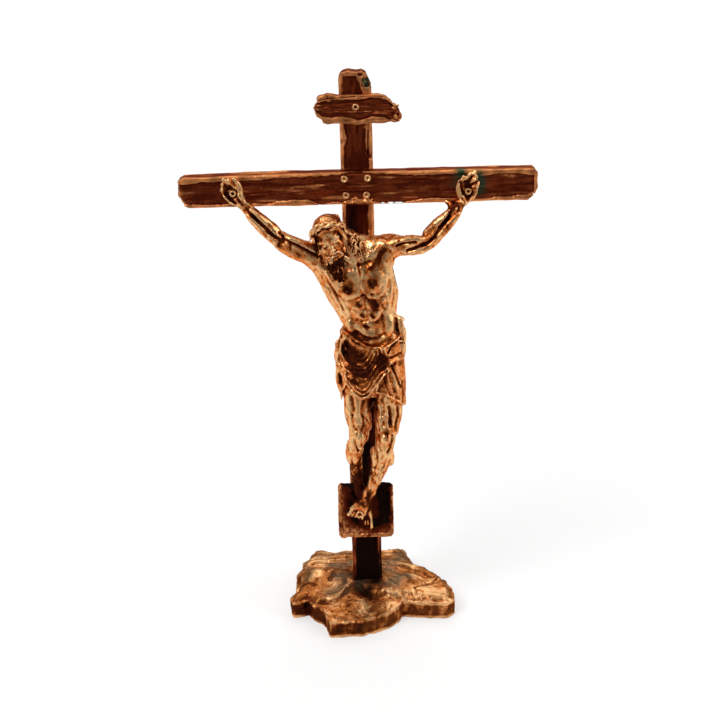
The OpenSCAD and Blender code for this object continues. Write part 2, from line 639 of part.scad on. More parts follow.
right_hand_z = hand_nail_z(-right_hand_x);
right_up = unit([-0.62, 0, 0.78]);
right_wrist = [-right_hand_x, beam_front_y, right_hand_z] + sized([3.4, -2.2, -3.6]);
right_arm_rows = [
    fore_row(-9.6, 7.2, by_shoulder(-2.8), 4.4, 4), fore_row(-15, 7.6, by_shoulder(-1.6), 4, 3.9),
    fore_row(-20.6, 8, by_shoulder(0.9), 3.8, 3.6), fore_row(-26.2, 8, by_shoulder(4), 3.3, 3.1),
    fore_row(-30.6, 7.4, by_shoulder(7.8), 3.3, 2.9),
    [each (right_wrist + sized([3.4, -0.8, -3.6])), each sized([2.5, 2])],
    [each right_wrist, each sized([2, 1.6])]];

left_hand_z = hand_nail_z(left_hand_x);
left_up = unit([0.42, 0, 0.9]);
left_wrist = [left_hand_x, beam_front_y, left_hand_z] + sized([-2.4, -2.1, -4]);
left_arm_rows = [
    fore_row(5.6, 7.2, by_shoulder(0.2), 4.2, 4), fore_row(11, 7.6, by_shoulder(0.6), 3.8, 3.9),
    fore_row(16.6, 8, by_shoulder(0.2), 3.7, 3.6), fore_row(22.4, 8, by_shoulder(1.4), 3, 3),
    fore_row(27, 7.4, by_shoulder(5.6), 3.2, 2.9),
    [each (left_wrist + sized([-3, -0.8, -4.4])), each sized([2.5, 2])],
    [each left_wrist, each sized([2, 1.6])]];

module right_arm() {
    color(bronze) arm(right_arm_rows, -right_hand_x, right_up, unit([0.78, 0, 0.62]),
                      right_shoulder, -1);
}

module left_arm() {
    color(bronze) arm(left_arm_rows, left_hand_x, left_up, unit([-0.9, 0, 0.42]),
                      left_shoulder, 1);
}

module right_hand_nail() {
    color(worn_bronze) nail(-right_hand_x, hand_seat_y, right_hand_z, hand_nail_head_r,
                            beam_front_y + nail_bite);
}

module left_hand_nail() {
    color(worn_bronze) nail(left_hand_x, hand_seat_y, left_hand_z, hand_nail_head_r,
                            beam_front_y + nail_bite);
}

// ---------- head, hair and crown ----------
// The head is drawn 14 high in its own frame: x to its left, -y to its face, z up.

head_at = fore(-9.6, 11.2, by_shoulder(5.6));
head_lean = -22;                               // sideways, towards the figure's right shoulder
head_nod = 28;                                 // forwards
module in_head() {
    translate(head_at) rotate([head_nod, 0, 0]) rotate([0, head_lean, 0])
        scale(head_h / 14) children();
}

skull_rows = [[0, -1.4, -6.6, 2.2, 2.2], [0, -1, -4.4, 3.8, 4.2], [0, -0.3, -1, 4.8, 5.4],
              [0, 0.2, 2.5, 5.2, 6], [0, 0.6, 5.2, 4, 4.6]];
hair_locks = [                                 // points down each lock
    [[-4.8, -2.2, 2, 1.3], [-5.6, -2.4, -2.5, 1.4], [-5.2, -2.8, -7, 1.3], [-3.4, -2.4, -11, 1]],
    [[-4.6, 0.8, 1.5, 1.7], [-5.4, 1, -3, 1.8], [-5, 1.2, -8, 1.5], [-3.6, 1, -11.4, 1.1]],
    [[4.8, -1.8, 2, 1.3], [5.6, -1.6, -2.5, 1.4], [6.4, 0.2, -6.5, 1.4], [8.4, 3.6, -11, 1]],
    [[4.6, 1.4, 1.5, 1.8], [5.4, 2, -3, 1.9], [6.4, 3.4, -6.5, 1.7]],
    [[0, 4.8, 1, 2], [0, 5.4, -3.5, 2]]];

module head_solid() {
    in_head() {
        skin(smooth_rows(skull_rows, 2), 20);
        rod([0, -5.4, 0.6], [0, -6.6, -1.6], 0.7, 0.95, 8);
        rod([0, -4.6, -5.4], [0, -3.6, -8.2], 1.9, 1.2, 10);
        for (lock = hair_locks) bent_rod(lock, 10);
    }
}

module corpus_head() {
    color(bronze) difference() {
        head_solid();
        corpus_solid();
        behind_figure();
        skin(smooth_rows(right_arm_rows, 2), 16);
        skin(smooth_rows(left_arm_rows, 2), 16);
    }
}

// Two twisted canes with thorns, drawn in the head's frame
function crown_point(a, phase) = let (twist = 5 * a + phase)
    [(5.8 + 0.5 * cos(twist)) * cos(a), (6.6 + 0.5 * cos(twist)) * sin(a),
     2.7 + 0.6 * sin(twist) + 0.5 * sin(a)];
module crown_solid() {
    steps = 20;
    in_head() {
        for (phase = [0, 180], k = [0:steps - 1])
            rod(crown_point(360 * k / steps, phase), crown_point(360 * (k + 1) / steps, phase),
                0.62, 0.62, 6);
        for (k = [0:6]) let (a = 200 + 23 * k, p = crown_point(a, 0))
            rod(p, p + [cos(a) * 0.7, sin(a) * 0.7, k % 2 == 0 ? 1.1 : -0.8], 0.4, 0.14, 5);
    }
}

module crown_of_thorns() {
    color(bronze) difference() {
        crown_solid();
        head_solid();
    }
}

// ---------- loincloth ----------

function by_hip(rise) = hip_z + rise * build;
cloth_rows = [
    fore_row(4.2, 8.2, thigh_at(0.42), 9.8, 7.0), fore_row(3.4, 8.4, thigh_at(0.24), 11.4, 8.4),
    fore_row(3.0, 8.0, thigh_at(0), 12.0, 8.6), fore_row(3.4, 7.6, chest_at(0.12), 11.4, 7.8),
    fore_row(3.6, 7.2, chest_at(0.23), 9.6, 6.9)];

// A fold through points, each [x, distance in front of the upright, z, radius]
module fold(points, sides) {
    bent_rod([for (p = points) [each fore(p.x, p.y, p.z), p[3] * build]], sides);
}

module cloth_solid() {
    skin(smooth_rows(cloth_rows, 2), 24);
    for (drop = [0, 2.6, 5.2, 7.8])            // folds that swing across the lap
        fold([[-6.4, 11 + 0.1 * drop, by_hip(2 - drop), 1.1], [-0.6, 15.2, by_hip(-2.4 - drop), 1.2],
              [5.4, 16.2, by_hip(0.6 - drop), 1.2], [11.6, 12.6, by_hip(6 - drop), 1.1]], 8);
    fold([[-7.6, 7, by_hip(8), 1.8], [-8.4, 7.4, hip_z, 1.9],       // hanging end, right hip
          [-8, 7, thigh_at(0.3), 1.6], [-6.8, 6.4, thigh_at(0.52), 0.9]], 10);
    fold([[12.6, 8, by_hip(8), 2], [13, 8.6, hip_z, 2.1],           // hanging end, left hip
          [13.4, 9, thigh_at(0.3), 1.8], [13.4, 9, thigh_at(0.55), 1.2]], 10);
}

module loincloth() {
    color(bronze) difference() {
        cloth_solid();
        corpus_solid();
        behind_figure();
    }
}

module knot_solid() {
    knot = fore(12.2, 9.4, chest_at(0.26));
    function tied(x, y, z, r) = [each (knot + sized([x, y, z])), r * build];
    bent_rod([tied(0, 0, 0, 1.7), tied(1.6, -0.6, 4, 1.5), tied(1.4, 0, 8.4, 1.2)], 12);
    bent_rod([tied(1.4, 0, 8.4, 1.2), tied(-0.4, 1, 8.6, 1), tied(-0.6, 1.4, 4, 1)], 12);
    bent_rod([tied(1, -0.4, -1, 1.8), tied(1.4, -0.6, -5, 1.6)], 12);
    bent_rod([tied(-1.6, -1.6, -1.6, 1), tied(1.6, -0.4, 0.6, 1.2), tied(2.4, 0.6, 1.6, 0.9)], 12);
}

module loincloth_knot() {
    color(bronze) difference() {
        knot_solid();
        cloth_solid();
        corpus_solid();
    }
}

base_rock();
base_screw();
base_washer();
upright();
crossbeam();
crossbeam_nails();
title_plaque();
title_nail();
footrest();
footrest_dowels();
corpus_body();
corpus_head();
crown_of_thorns();
loincloth();
loincloth_knot();
right_arm();
left_arm();
right_hand_nail();
left_hand_nail();
feet_nail();
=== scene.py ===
# Standing altar cross in cast bronze. The pieces are shaped in "clay": a box of distances, in
# millimetres, that is negative inside the metal. Each clay is skinned into a mesh in metres.
import bpy
import math
import numpy as np
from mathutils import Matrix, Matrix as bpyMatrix, Vector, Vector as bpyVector


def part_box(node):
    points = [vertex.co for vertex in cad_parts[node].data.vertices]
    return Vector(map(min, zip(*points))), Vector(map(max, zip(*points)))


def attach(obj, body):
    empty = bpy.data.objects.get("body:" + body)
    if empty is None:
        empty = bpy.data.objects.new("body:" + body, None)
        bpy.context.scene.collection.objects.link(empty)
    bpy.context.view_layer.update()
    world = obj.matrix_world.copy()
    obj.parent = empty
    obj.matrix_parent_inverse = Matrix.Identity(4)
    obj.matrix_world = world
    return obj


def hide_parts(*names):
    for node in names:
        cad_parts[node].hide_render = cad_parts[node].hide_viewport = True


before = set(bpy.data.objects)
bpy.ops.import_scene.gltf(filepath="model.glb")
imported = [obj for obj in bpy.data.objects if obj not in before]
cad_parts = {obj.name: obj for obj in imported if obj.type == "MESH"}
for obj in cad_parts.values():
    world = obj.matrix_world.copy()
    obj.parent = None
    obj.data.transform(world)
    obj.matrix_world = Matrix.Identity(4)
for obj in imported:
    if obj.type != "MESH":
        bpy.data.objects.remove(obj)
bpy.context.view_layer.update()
metre = 0.001                                   # one millimetre, in metres
farAway = 4.0                                   # what an empty clay holds, mm
farOff = 99                                     # beyond every piece, mm
leastReach = 1.2                                # how far a shape is worked out past its skin, mm
spare = 1.5                                     # empty clay round a cast piece, mm
slant = 0.7071                                  # cosine of 45 degrees


def boxMm(node):
    low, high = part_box(node)
    return np.array(low) / metre, np.array(high) / metre


def midOf(node):
    low, high = boxMm(node)
    return (low + high) / 2


uprightLow, uprightHigh = boxMm("upright")
beamLow, beamHigh = boxMm("crossbeam")
frontY = uprightLow[1]                          # front face of the upright
beamFrontY = beamLow[1]                         # front face of the crossbeam
beamMidZ = (beamLow[2] + beamHigh[2]) / 2
figureSet = {"drawnBeamZ": 161.5}               # beam height that the figure is drawn for
lift = beamMidZ - figureSet["drawnBeamZ"]


def at(x, out, z):                              # a figure's point: x, distance in front, height
    return (x, frontY - out, z + lift)


# ---- paths and blends

def smoothRows(rows, steps):                    # a smooth curve through rows of numbers
    rows = np.array(rows, float)
    ends = np.vstack([2 * rows[0] - rows[1], rows, 2 * rows[-1] - rows[-2]])
    out = []
    for i in range(1, len(ends) - 2):
        p0, p1, p2, p3 = ends[i - 1], ends[i], ends[i + 1], ends[i + 2]
        for k in range(steps):
            t = k / steps
            out.append(0.5 * (2 * p1 + (p2 - p0) * t + (2 * p0 - 5 * p1 + 4 * p2 - p3) * t * t
                              + (3 * p1 - p0 - 3 * p2 + p3) * t ** 3))
    out.append(rows[-1])
    return np.array(out)


def softMin(a, b, blend):
    if blend <= 0:
        return np.minimum(a, b)
    h = np.clip(0.5 + 0.5 * (b - a) / blend, 0, 1)
    return b + (a - b) * h - blend * h * (1 - h)


def smoothStep(value, low, high):
    t = np.clip((value - low) / (high - low), 0, 1)
    return t * t * (3 - 2 * t)


def outlineGap(a, b, points):                   # distance to a closed outline, negative inside it
    points = np.array(points, float)
    a, b = np.broadcast_arrays(a, b)
    gap, inside = np.full(a.shape, 1e9), np.zeros(a.shape, bool)
    for s, e in zip(points, np.roll(points, -1, 0)):
        way = e - s
        t = np.clip(((a - s[0]) * way[0] + (b - s[1]) * way[1]) / (way @ way), 0, 1)
        gap = np.minimum(gap, (a - s[0] - t * way[0]) ** 2 + (b - s[1] - t * way[1]) ** 2)
        if s[1] != e[1]:
            inside ^= ((s[1] > b) != (e[1] > b)) & (a < s[0] + (b - s[1]) * way[0] / way[1])
    return np.where(inside, -1, 1) * np.sqrt(gap)


def raggedLine(axis, level, swing, pitch, seed):    # a broken, uneven line along an axis
    dice = np.random.default_rng(seed)
    line = np.full(axis.shape, float(level))
    for size, share in ((pitch, 0.6), (pitch / 3, 0.3), (pitch / 8, 0.15)):
        knots = np.arange(axis.min() - size, axis.max() + 2 * size, size)
        knots = knots + dice.uniform(-0.35, 0.35, len(knots)) * size
        line += swing * share * np.interp(axis, knots, dice.uniform(-1, 1, len(knots)))
    return line.astype(np.float32)


def turnMatrix(degrees):
    x, y, z = np.radians(degrees)
    rx = np.array([[1, 0, 0], [0, math.cos(x), -math.sin(x)], [0, math.sin(x), math.cos(x)]])
    ry = np.array([[math.cos(y), 0, math.sin(y)], [0, 1, 0], [-math.sin(y), 0, math.cos(y)]])
    rz = np.array([[math.cos(z), -math.sin(z), 0], [math.sin(z), math.cos(z), 0], [0, 0, 1]])
    return rz @ ry @ rx


# ---- clay

def roundGap(a, b, dx, dy, dz):                 # distance to a round bar; dx, dy, dz are from a
    way = b[:3] - a[:3]
    t = dx * way[0] + dy * way[1] + dz * way[2]
    t = np.clip(t / max(way @ way, 1e-6), 0, 1).astype(np.float32)
    gap = (dx - t * way[0]) ** 2 + (dy - t * way[1]) ** 2 + (dz - t * way[2]) ** 2
    return np.sqrt(gap) - (a[3] + t * (b[3] - a[3]))


def ovalGap(a, b, dx, dy, dz):                  # the same to a flattened bar
    way = b[:3] - a[:3]
    along = way / np.linalg.norm(way)
    side = np.cross(along, [0, -1, 0])
    side = side / np.linalg.norm(side)
    front = np.cross(side, along)
    t = np.clip((dx * way[0] + dy * way[1] + dz * way[2]) / (way @ way), 0, 1)
    dx, dy, dz = dx - t * way[0], dy - t * way[1], dz - t * way[2]
    ra, rb = a[3] + t * (b[3] - a[3]), a[4] + t * (b[4] - a[4])
    u = (dx * side[0] + dy * side[1] + dz * side[2]) / ra
    v = (dx * front[0] + dy * front[1] + dz * front[2]) / rb
    w = (dx * along[0] + dy * along[1] + dz * along[2]) / np.minimum(ra, rb)
    k0 = np.sqrt(u * u + v * v + w * w)
    k1 = np.sqrt((u / ra) ** 2 + (v / rb) ** 2 + (w / np.minimum(ra, rb)) ** 2)
    return (k0 * (k0 - 1) / np.maximum(k1, 1e-4)).astype(np.float32)


class Clay:
    def __init__(self, low, high, step):
        self.step = step * 1
        self.low = np.floor(np.array(low, float) / self.step) * self.step
        counts = np.ceil((np.array(high, float) - self.low) / self.step).astype(int) + 1
        self.axes = [(self.low[k] + self.step * np.arange(counts[k])).astype(np.float32)
                     for k in range(3)]
        self.field = np.full(counts, farAway, np.float32)
        self.paint = {name: np.zeros(counts, np.float32) for name in ("tone", "stain")}

    def pocket(self, low, high):                # the part of the clay between two corners
        cells = []
        for k in range(3):
            first = max(0, int((low[k] - self.low[k]) / self.step))
            last = min(len(self.axes[k]), int((high[k] - self.low[k]) / self.step) + 2)
            if last <= first:
                return None
            cells.append(slice(first, last))
        x, y, z = (self.axes[k][cells[k]] for k in range(3))
        return tuple(cells), x[:, None, None], y[None, :, None], z[None, None, :]

    def whole(self):
        return self.pocket([-farOff] * 3, [10 * farOff] * 3)

    def merge(self, cells, shape, blend, cut=False):
        if cut:
            self.field[cells] = -softMin(-self.field[cells], shape, blend)
        else:
            self.field[cells] = softMin(self.field[cells], shape, blend)

    def ball(self, centre, radii, turn=(0, 0, 0), blend=1.0, cut=False):
        reach = max(radii) + max(blend, leastReach)
        place = self.pocket([c - reach for c in centre], [c + reach for c in centre])
        if place is None:
            return
        cells, x, y, z = place
        m = turnMatrix(turn).astype(np.float32)
        dx, dy, dz = x - centre[0], y - centre[1], z - centre[2]
        k0 = k1 = 0
        for k in range(3):
            u = (m[0, k] * dx + m[1, k] * dy + m[2, k] * dz) / radii[k]
            k0 = k0 + u * u
            k1 = k1 + (u / radii[k]) ** 2
        k0, k1 = np.sqrt(k0), np.sqrt(k1)
        self.merge(cells, k0 * (k0 - 1) / np.maximum(k1, 1e-4), blend, cut)

    def sweep(self, path, blend, gapOf, cut=False):     # a shape drawn out along a path
        margin = max(blend, leastReach)
        wide = path[:, 3:].max() + margin
        place = self.pocket(path[:, :3].min(0) - wide, path[:, :3].max(0) + wide)
        if place is None:
            return
        whole = place[0]
        shape = np.full(self.field[whole].shape, farAway, np.float32)
        for a, b in zip(path[:-1], path[1:]):
            reach = max(a[3:].max(), b[3:].max()) + margin
            part = self.pocket(np.minimum(a, b)[:3] - reach, np.maximum(a, b)[:3] + reach)
            if part is not None:
                cells, x, y, z = part
                inner = tuple(slice(c.start - w.start, c.stop - w.start)
                              for c, w in zip(cells, whole))
                gap = gapOf(a, b, x - a[0], y - a[1], z - a[2])
                shape[inner] = np.minimum(shape[inner], gap)
        self.merge(whole, shape, blend, cut)

    def strand(self, rows, blend=0.6, steps=4, cut=False):      # rows are [x, y, z, radius]
        self.sweep(smoothRows(rows, steps) if steps > 1 else np.array(rows, float), blend,
                   roundGap, cut)

    def limb(self, rows, blend=1.0, steps=5):   # rows are [x, y, z, half across, half deep]
        self.sweep(smoothRows(rows, steps), blend, ovalGap)

    def column(self, rows, blend=1.0, square=2.0):      # an upright limb, rows by height
        path = smoothRows(sorted(rows, key=lambda r: r[2]), 8)
        wide = path[:, 3:].max() + max(blend, 1.5)
        place = self.pocket([path[:, 0].min() - wide, path[:, 1].min() - wide, path[0, 2] - 2],
                            [path[:, 0].max() + wide, path[:, 1].max() + wide, path[-1, 2] + 2])
        if place is None:
            return
        cells, x, y, z = place
        cx, cy, ra, rb = (np.interp(z, path[:, 2], path[:, k]).astype(np.float32)
                          for k in (0, 1, 3, 4))
        beyond = np.maximum(z - path[-1, 2], path[0, 2] - z)
        u, v = np.abs(x - cx) / ra, np.abs(y - cy) / rb
        k0 = (u ** square + v ** square) ** (1 / square)
        k1 = np.sqrt((u / ra) ** 2 + (v / rb) ** 2)
        self.merge(cells, np.maximum(k0 * (k0 - 1) / np.maximum(k1, 1e-4), beyond), blend)

    def stroke(self, points, width, depth, ahead=-farOff, behind=farOff, steps=5, plane=(0, 2),
               paint=None):
        # presses a soft line into the face seen along the third axis; a negative depth raises one;
        # with paint, the line goes into that layer of paint instead
        path = smoothRows(points, steps) if steps > 1 else np.array(points, float)
        p, q = plane
        r = 3 - p - q
        low, high = np.zeros(3), np.zeros(3)
        low[[p, q]], high[[p, q]] = path.min(0) - 3 * width, path.max(0) + 3 * width
        low[r], high[r] = ahead - 1, behind + 1
        place = self.pocket(low, high)
        if place is None:
            return
        cells, *grid = place
        a, b, c = grid[p], grid[q], grid[r]
        gap = np.float32(1e9)
        for s, e in zip(path[:-1], path[1:]):
            way = e - s
            t = np.clip(((a - s[0]) * way[0] + (b - s[1]) * way[1]) / max(way @ way, 1e-9), 0, 1)
            gap = np.minimum(gap, (a - s[0] - t * way[0]) ** 2 + (b - s[1] - t * way[1]) ** 2)
        gate = smoothStep(c, ahead - 1, ahead) * (1 - smoothStep(c, behind, behind + 1))
        layer = self.paint[paint] if paint else self.field
        layer[cells] += (depth * np.exp(-gap / width ** 2) * gate).astype(np.float32)

    def dab(self, rows, amount, layer="tone"):  # paint round a path of [x, y, z, radius]
        for spot in smoothRows(rows, 4):
            reach = 1.6 * spot[3]
            place = self.pocket(spot[:3] - reach, spot[:3] + reach)
            if place is None:
                continue
            cells, x, y, z = place
            gap = ((x - spot[0]) ** 2 + (y - spot[1]) ** 2 + (z - spot[2]) ** 2) / spot[3] ** 2
            shade = amount * np.exp(-gap ** 2)
            pick = np.maximum if amount > 0 else np.minimum
            self.paint[layer][cells] = pick(self.paint[layer][cells], shade)

    def noise(self, size, seed):                # soft lumps between -1 and 1; size in mm per axis
        dice = np.random.default_rng(seed)
        counts = [int(len(self.axes[k]) * self.step / size[k]) + 3 for k in range(3)]
        lumps = dice.uniform(-1, 1, counts).astype(np.float32)
        for k in range(3):
            spot = (self.axes[k] - self.low[k]) / size[k]
            cell = np.floor(spot).astype(int)
            part = (spot - cell).astype(np.float32)
            part = part * part * (3 - 2 * part)
            part = part.reshape([-1 if j == k else 1 for j in range(3)])
            lumps = np.take(lumps, cell, k) * (1 - part) + np.take(lumps, cell + 1, k) * part
        return lumps

    def roughen(self, rows):                    # rows are the size per axis, the depth and a seed
        for size, depth, seed in rows:
            self.field += depth * self.noise(size, seed)

    def sample(self, field, points):            # values of a field between the cells
        spot = (points - self.low) / self.step
        cell = np.clip(np.floor(spot).astype(int), 0, np.array(field.shape) - 2)
        part = (spot - cell).astype(np.float32)
        total = 0
        for i in (0, 1):
            for j in (0, 1):
                for k in (0, 1):
                    share = ((part[:, 0] if i else 1 - part[:, 0])
                             * (part[:, 1] if j else 1 - part[:, 1])
                             * (part[:, 2] if k else 1 - part[:, 2]))
                    total = total + share * field[cell[:, 0] + i, cell[:, 1] + j, cell[:, 2] + k]
        return total

    def slope(self, points):
        h = self.step * 0.6
        return np.stack([self.sample(self.field, points + h * np.eye(3)[k])
                         - self.sample(self.field, points - h * np.eye(3)[k])
                         for k in range(3)], 1) / (2 * h)

    def skin(self):                             # corners and four-sided faces of the zero surface
        f = self.field
        f[[0, -1]] = f[:, [0, -1]] = f[:, :, [0, -1]] = farAway
        inside = f < 0
        count = np.zeros(np.array(f.shape) - 1, np.int8)
        nx, ny, nz = count.shape
        steps = [(i, j, k) for i in (0, 1) for j in (0, 1) for k in (0, 1)]
        for i, j, k in steps:
            count += inside[i:i + nx, j:j + ny, k:k + nz]
        mixed = np.argwhere((count > 0) & (count < 8))
        value = {s: f[mixed[:, 0] + s[0], mixed[:, 1] + s[1], mixed[:, 2] + s[2]] for s in steps}
        total, hits = np.zeros((len(mixed), 3)), np.zeros(len(mixed))
        for a in steps:
            for k in range(3):
                if a[k]:
                    continue
                b = tuple(1 if j == k else a[j] for j in range(3))
                crossed = (value[a] < 0) != (value[b] < 0)
                t = np.where(crossed, value[a] / np.where(crossed, value[a] - value[b], 1), 0)
                spot = np.tile(np.array(a, float), (len(mixed), 1))
                spot[:, k] += t
                total += spot * crossed[:, None]
                hits += crossed
        corners = self.low + self.step * (mixed + total / hits[:, None])
        for _ in range(2):
            way = self.slope(corners)
            push = self.sample(f, corners) / np.maximum((way ** 2).sum(1), 0.05)
            corners -= np.clip(push, -0.5 * self.step, 0.5 * self.step)[:, None] * way
        number = np.full(count.shape, -1, np.int32)
        number[tuple(mixed.T)] = np.arange(len(mixed))
        faces = []
        for k in range(3):
            i, j = (k + 1) % 3, (k + 2) % 3
            here, there = (inside[tuple(part if j == k else slice(None) for j in range(3))]
                           for part in (slice(0, -1), slice(1, None)))
            edge = np.argwhere(here != there)
            side = np.zeros((4, 3), int)
            side[:, [i, j]] = [(-1, -1), (0, -1), (0, 0), (-1, 0)]
            ring = np.stack([number[tuple((edge + s).T)] for s in side], 1)
            flip = ~here[tuple(edge.T)]
            ring[flip] = ring[flip][:, ::-1]
            faces.append(ring)
        return corners, np.vstack(faces)

    def blurred(self, radius):
        cells = max(1, round(radius / self.step))
        soft = np.clip(self.field, -1.5, 1.5)
        for k in range(3):
            pad = [(cells + 1, cells) if j == k else (0, 0) for j in range(3)]
            total = np.cumsum(np.pad(soft, pad, mode="edge"), k, dtype=np.float32)
            size = soft.shape[k]
            high = np.take(total, range(2 * cells + 1, 2 * cells + 1 + size), k)
            soft = (high - np.take(total, range(size), k)) / (2 * cells + 1)
        return soft


def makePiece(name, corners, faces, marks, normals, material, place=None):
    if place is not None:
        corners, normals = place(corners), place(normals, True)
    mesh = bpy.data.meshes.new(name)
    mesh.vertices.add(len(corners))
    mesh.vertices.foreach_set("co", (corners * metre).ravel())
    mesh.loops.add(faces.size)
    mesh.loops.foreach_set("vertex_index", faces.ravel().astype(np.int32))
    mesh.polygons.add(len(faces))
    mesh.polygons.foreach_set("loop_start", np.arange(0, faces.size, 4, dtype=np.int32))
    mesh.polygons.foreach_set("use_smooth", np.ones(len(faces), bool))
    mesh.update(calc_edges=True)
    mesh.validate()
    for mark, values in marks.items():
        mesh.attributes.new(mark, "FLOAT", "POINT").data.foreach_set("value", values)
    mesh.normals_split_custom_set_from_vertices(normals)
    mesh.materials.append(material)
    piece = bpy.data.objects.new(name, mesh)
    bpy.context.collection.objects.link(piece)
    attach(piece, "root")
    return piece


def fromClay(name, clay, material, keep=None, place=None):
    corners, faces = clay.skin()
    normals = clay.slope(corners)
    normals /= np.maximum(np.linalg.norm(normals, axis=1), 1e-9)[:, None]
    here = clay.sample(np.clip(clay.field, -1.5, 1.5), corners)
    marks = {"fineTurn": clay.sample(clay.blurred(0.5), corners) - here,
             "broadTurn": clay.sample(clay.blurred(1.4), corners) - here}
    for layer, values in clay.paint.items():
        marks[layer] = clay.sample(values, corners)
    if keep is not None:                        # keeps the faces on one side of a cut
        faces = faces[keep(corners[faces].mean(1))]
        used, faces = np.unique(faces, return_inverse=True)
        faces = faces.reshape(-1, 4)
        corners, normals = corners[used], normals[used]
        marks = {mark: values[used] for mark, values in marks.items()}
    piece = makePiece(name, corners, faces, marks, normals, material, place)
    print("clay:", name, clay.field.shape, len(faces), "faces")
    return piece


# ---- materials: shader groups give colours and masks, and each material has its own shader

def newGroup(name, inputs, outputs):
    group = bpy.data.node_groups.new(name, "ShaderNodeTree")
    for label, kind, value in inputs:
        socket = group.interface.new_socket(label, in_out="INPUT", socket_type=kind)
        socket.default_value = value
    for label, kind in outputs:
        group.interface.new_socket(label, in_out="OUTPUT", socket_type=kind)
    return group, group.nodes.new("NodeGroupInput"), group.nodes.new("NodeGroupOutput")


class Wires:                                    # short ways to add and join nodes in one tree
    def __init__(self, tree):
        self.nodes, self.links = tree.nodes, tree.links

    def add(self, kind, feeds=(), **values):
        node = self.nodes.new(kind)
        for key, value in values.items():
            setattr(node, key, value)
        for socket, source in dict(feeds).items():
            self.feed(node, socket, source)
        return node

    def feed(self, node, socket, source):
        if isinstance(source, bpy.types.NodeSocket):
            self.links.new(source, node.inputs[socket])
        else:
            node.inputs[socket].default_value = source

    def maths(self, kind, a, b=0.0, clamp=False):
        return self.add("ShaderNodeMath", {0: a, 1: b}, operation=kind, use_clamp=clamp).outputs[0]

    def remap(self, value, low, high, newLow=0.0, newHigh=1.0):
        return self.add("ShaderNodeMapRange", {0: value, 1: low, 2: high, 3: newLow, 4: newHigh},
                        interpolation_type="SMOOTHSTEP").outputs[0]

    def blend(self, share, a, b, kind="MIX"):
        return self.add("ShaderNodeMix", {0: share, 6: a, 7: b}, data_type="RGBA",
                        blend_type=kind).outputs[2]

    def noise(self, scale, detail=3.0, rough=0.5, stretch=(1, 1, 1)):
        where = self.add("ShaderNodeTexCoord").outputs["Object"]
        where = self.add("ShaderNodeMapping", {0: where, 3: stretch}).outputs[0]
        return self.add("ShaderNodeTexNoise", {"Vector": where, "Scale": scale, "Detail": detail,
                                               "Roughness": rough}).outputs["Fac"]


def rgb(r, g, b):                               # 0-255 screen values to the shader's own
    def linear(v):
        v /= 255
        return v / 12.92 if v <= 0.04045 else ((v + 0.055) / 1.055) ** 2.4
    return (linear(r), linear(g), linear(b), 1)


def makeWearAndLightGroup():                            # bright rubbed ridges and dark patina in the hollows, together with the painted shade and painted highlights that the tone attribute carries
    group, enter, leave = newGroup(
        "castWearAndPaintedLight",
        [("HollowAndShade Colour", "NodeSocketColor", rgb(40, 18, 10)),
         ("Plain Colour", "NodeSocketColor", rgb(150, 92, 55)),
         ("RidgeAndHighlight Colour", "NodeSocketColor", rgb(230, 175, 130)),
         ("DeepPatinaAndShade Colour", "NodeSocketColor", rgb(16, 8, 5)),
         ("Fine Reach", "NodeSocketFloat", 0.08), ("Broad Reach", "NodeSocketFloat", 0.3),
         ("Level", "NodeSocketFloat", 0.0), ("Speckle", "NodeSocketFloat", 0.3)],
        [("Colour", "NodeSocketColor"), ("RubbedAndHighlit", "NodeSocketFloat"),
         ("HollowAndShade", "NodeSocketFloat"), ("DeepPatinaAndShade", "NodeSocketFloat")])
    w = Wires(group)
    fine = w.add("ShaderNodeAttribute", attribute_name="fineTurn").outputs["Fac"]
    broad = w.add("ShaderNodeAttribute", attribute_name="broadTurn").outputs["Fac"]
    turn = w.maths("ADD", w.maths("DIVIDE", fine, enter.outputs["Fine Reach"]),
                   w.maths("DIVIDE", broad, enter.outputs["Broad Reach"]))
    grain = w.maths("SUBTRACT", w.noise(1700, 3, 0.7), 0.5)
    cloud = w.maths("SUBTRACT", w.noise(400, 3, 0.6), 0.5)
    spots = w.maths("MULTIPLY", w.maths("ADD", w.maths("MULTIPLY", grain, 7.5),
                                        w.maths("MULTIPLY", cloud, 3.0)),
                    enter.outputs["Speckle"])
    # tone holds uneven patina, and also painted shade where negative and painted highlights where
    # positive
    tone = w.add("ShaderNodeAttribute", attribute_name="tone").outputs["Fac"]
    turn = w.maths("ADD", turn, spots)
    level = w.maths("ADD", w.maths("MULTIPLY", tone, 1.7), enter.outputs["Level"])
    turn = w.maths("ADD", turn, level)
    rubbedAndHighlit = w.remap(turn, 0.2, 2.0)
    hollowAndShade = w.remap(turn, -0.15, -1.5)
    colour = w.blend(rubbedAndHighlit, enter.outputs["Plain Colour"], enter.outputs["RidgeAndHighlight Colour"])
    colour = w.blend(hollowAndShade, colour, enter.outputs["HollowAndShade Colour"])
    # the darkest colour: deep patina and the deepest painted shade
    deepPatinaAndShade = w.maths("MULTIPLY", w.remap(tone, -1.1, -2.8), w.maths("SUBTRACT", 1.0, rubbedAndHighlit))
    w.feed(leave, "Colour", w.blend(deepPatinaAndShade, colour, enter.outputs["DeepPatinaAndShade Colour"]))
    w.feed(leave, "RubbedAndHighlit", rubbedAndHighlit)
    w.feed(leave, "HollowAndShade", hollowAndShade)
    w.feed(leave, "DeepPatinaAndShade", deepPatinaAndShade)
    return group


wearAndLightGroup = makeWearAndLightGroup()


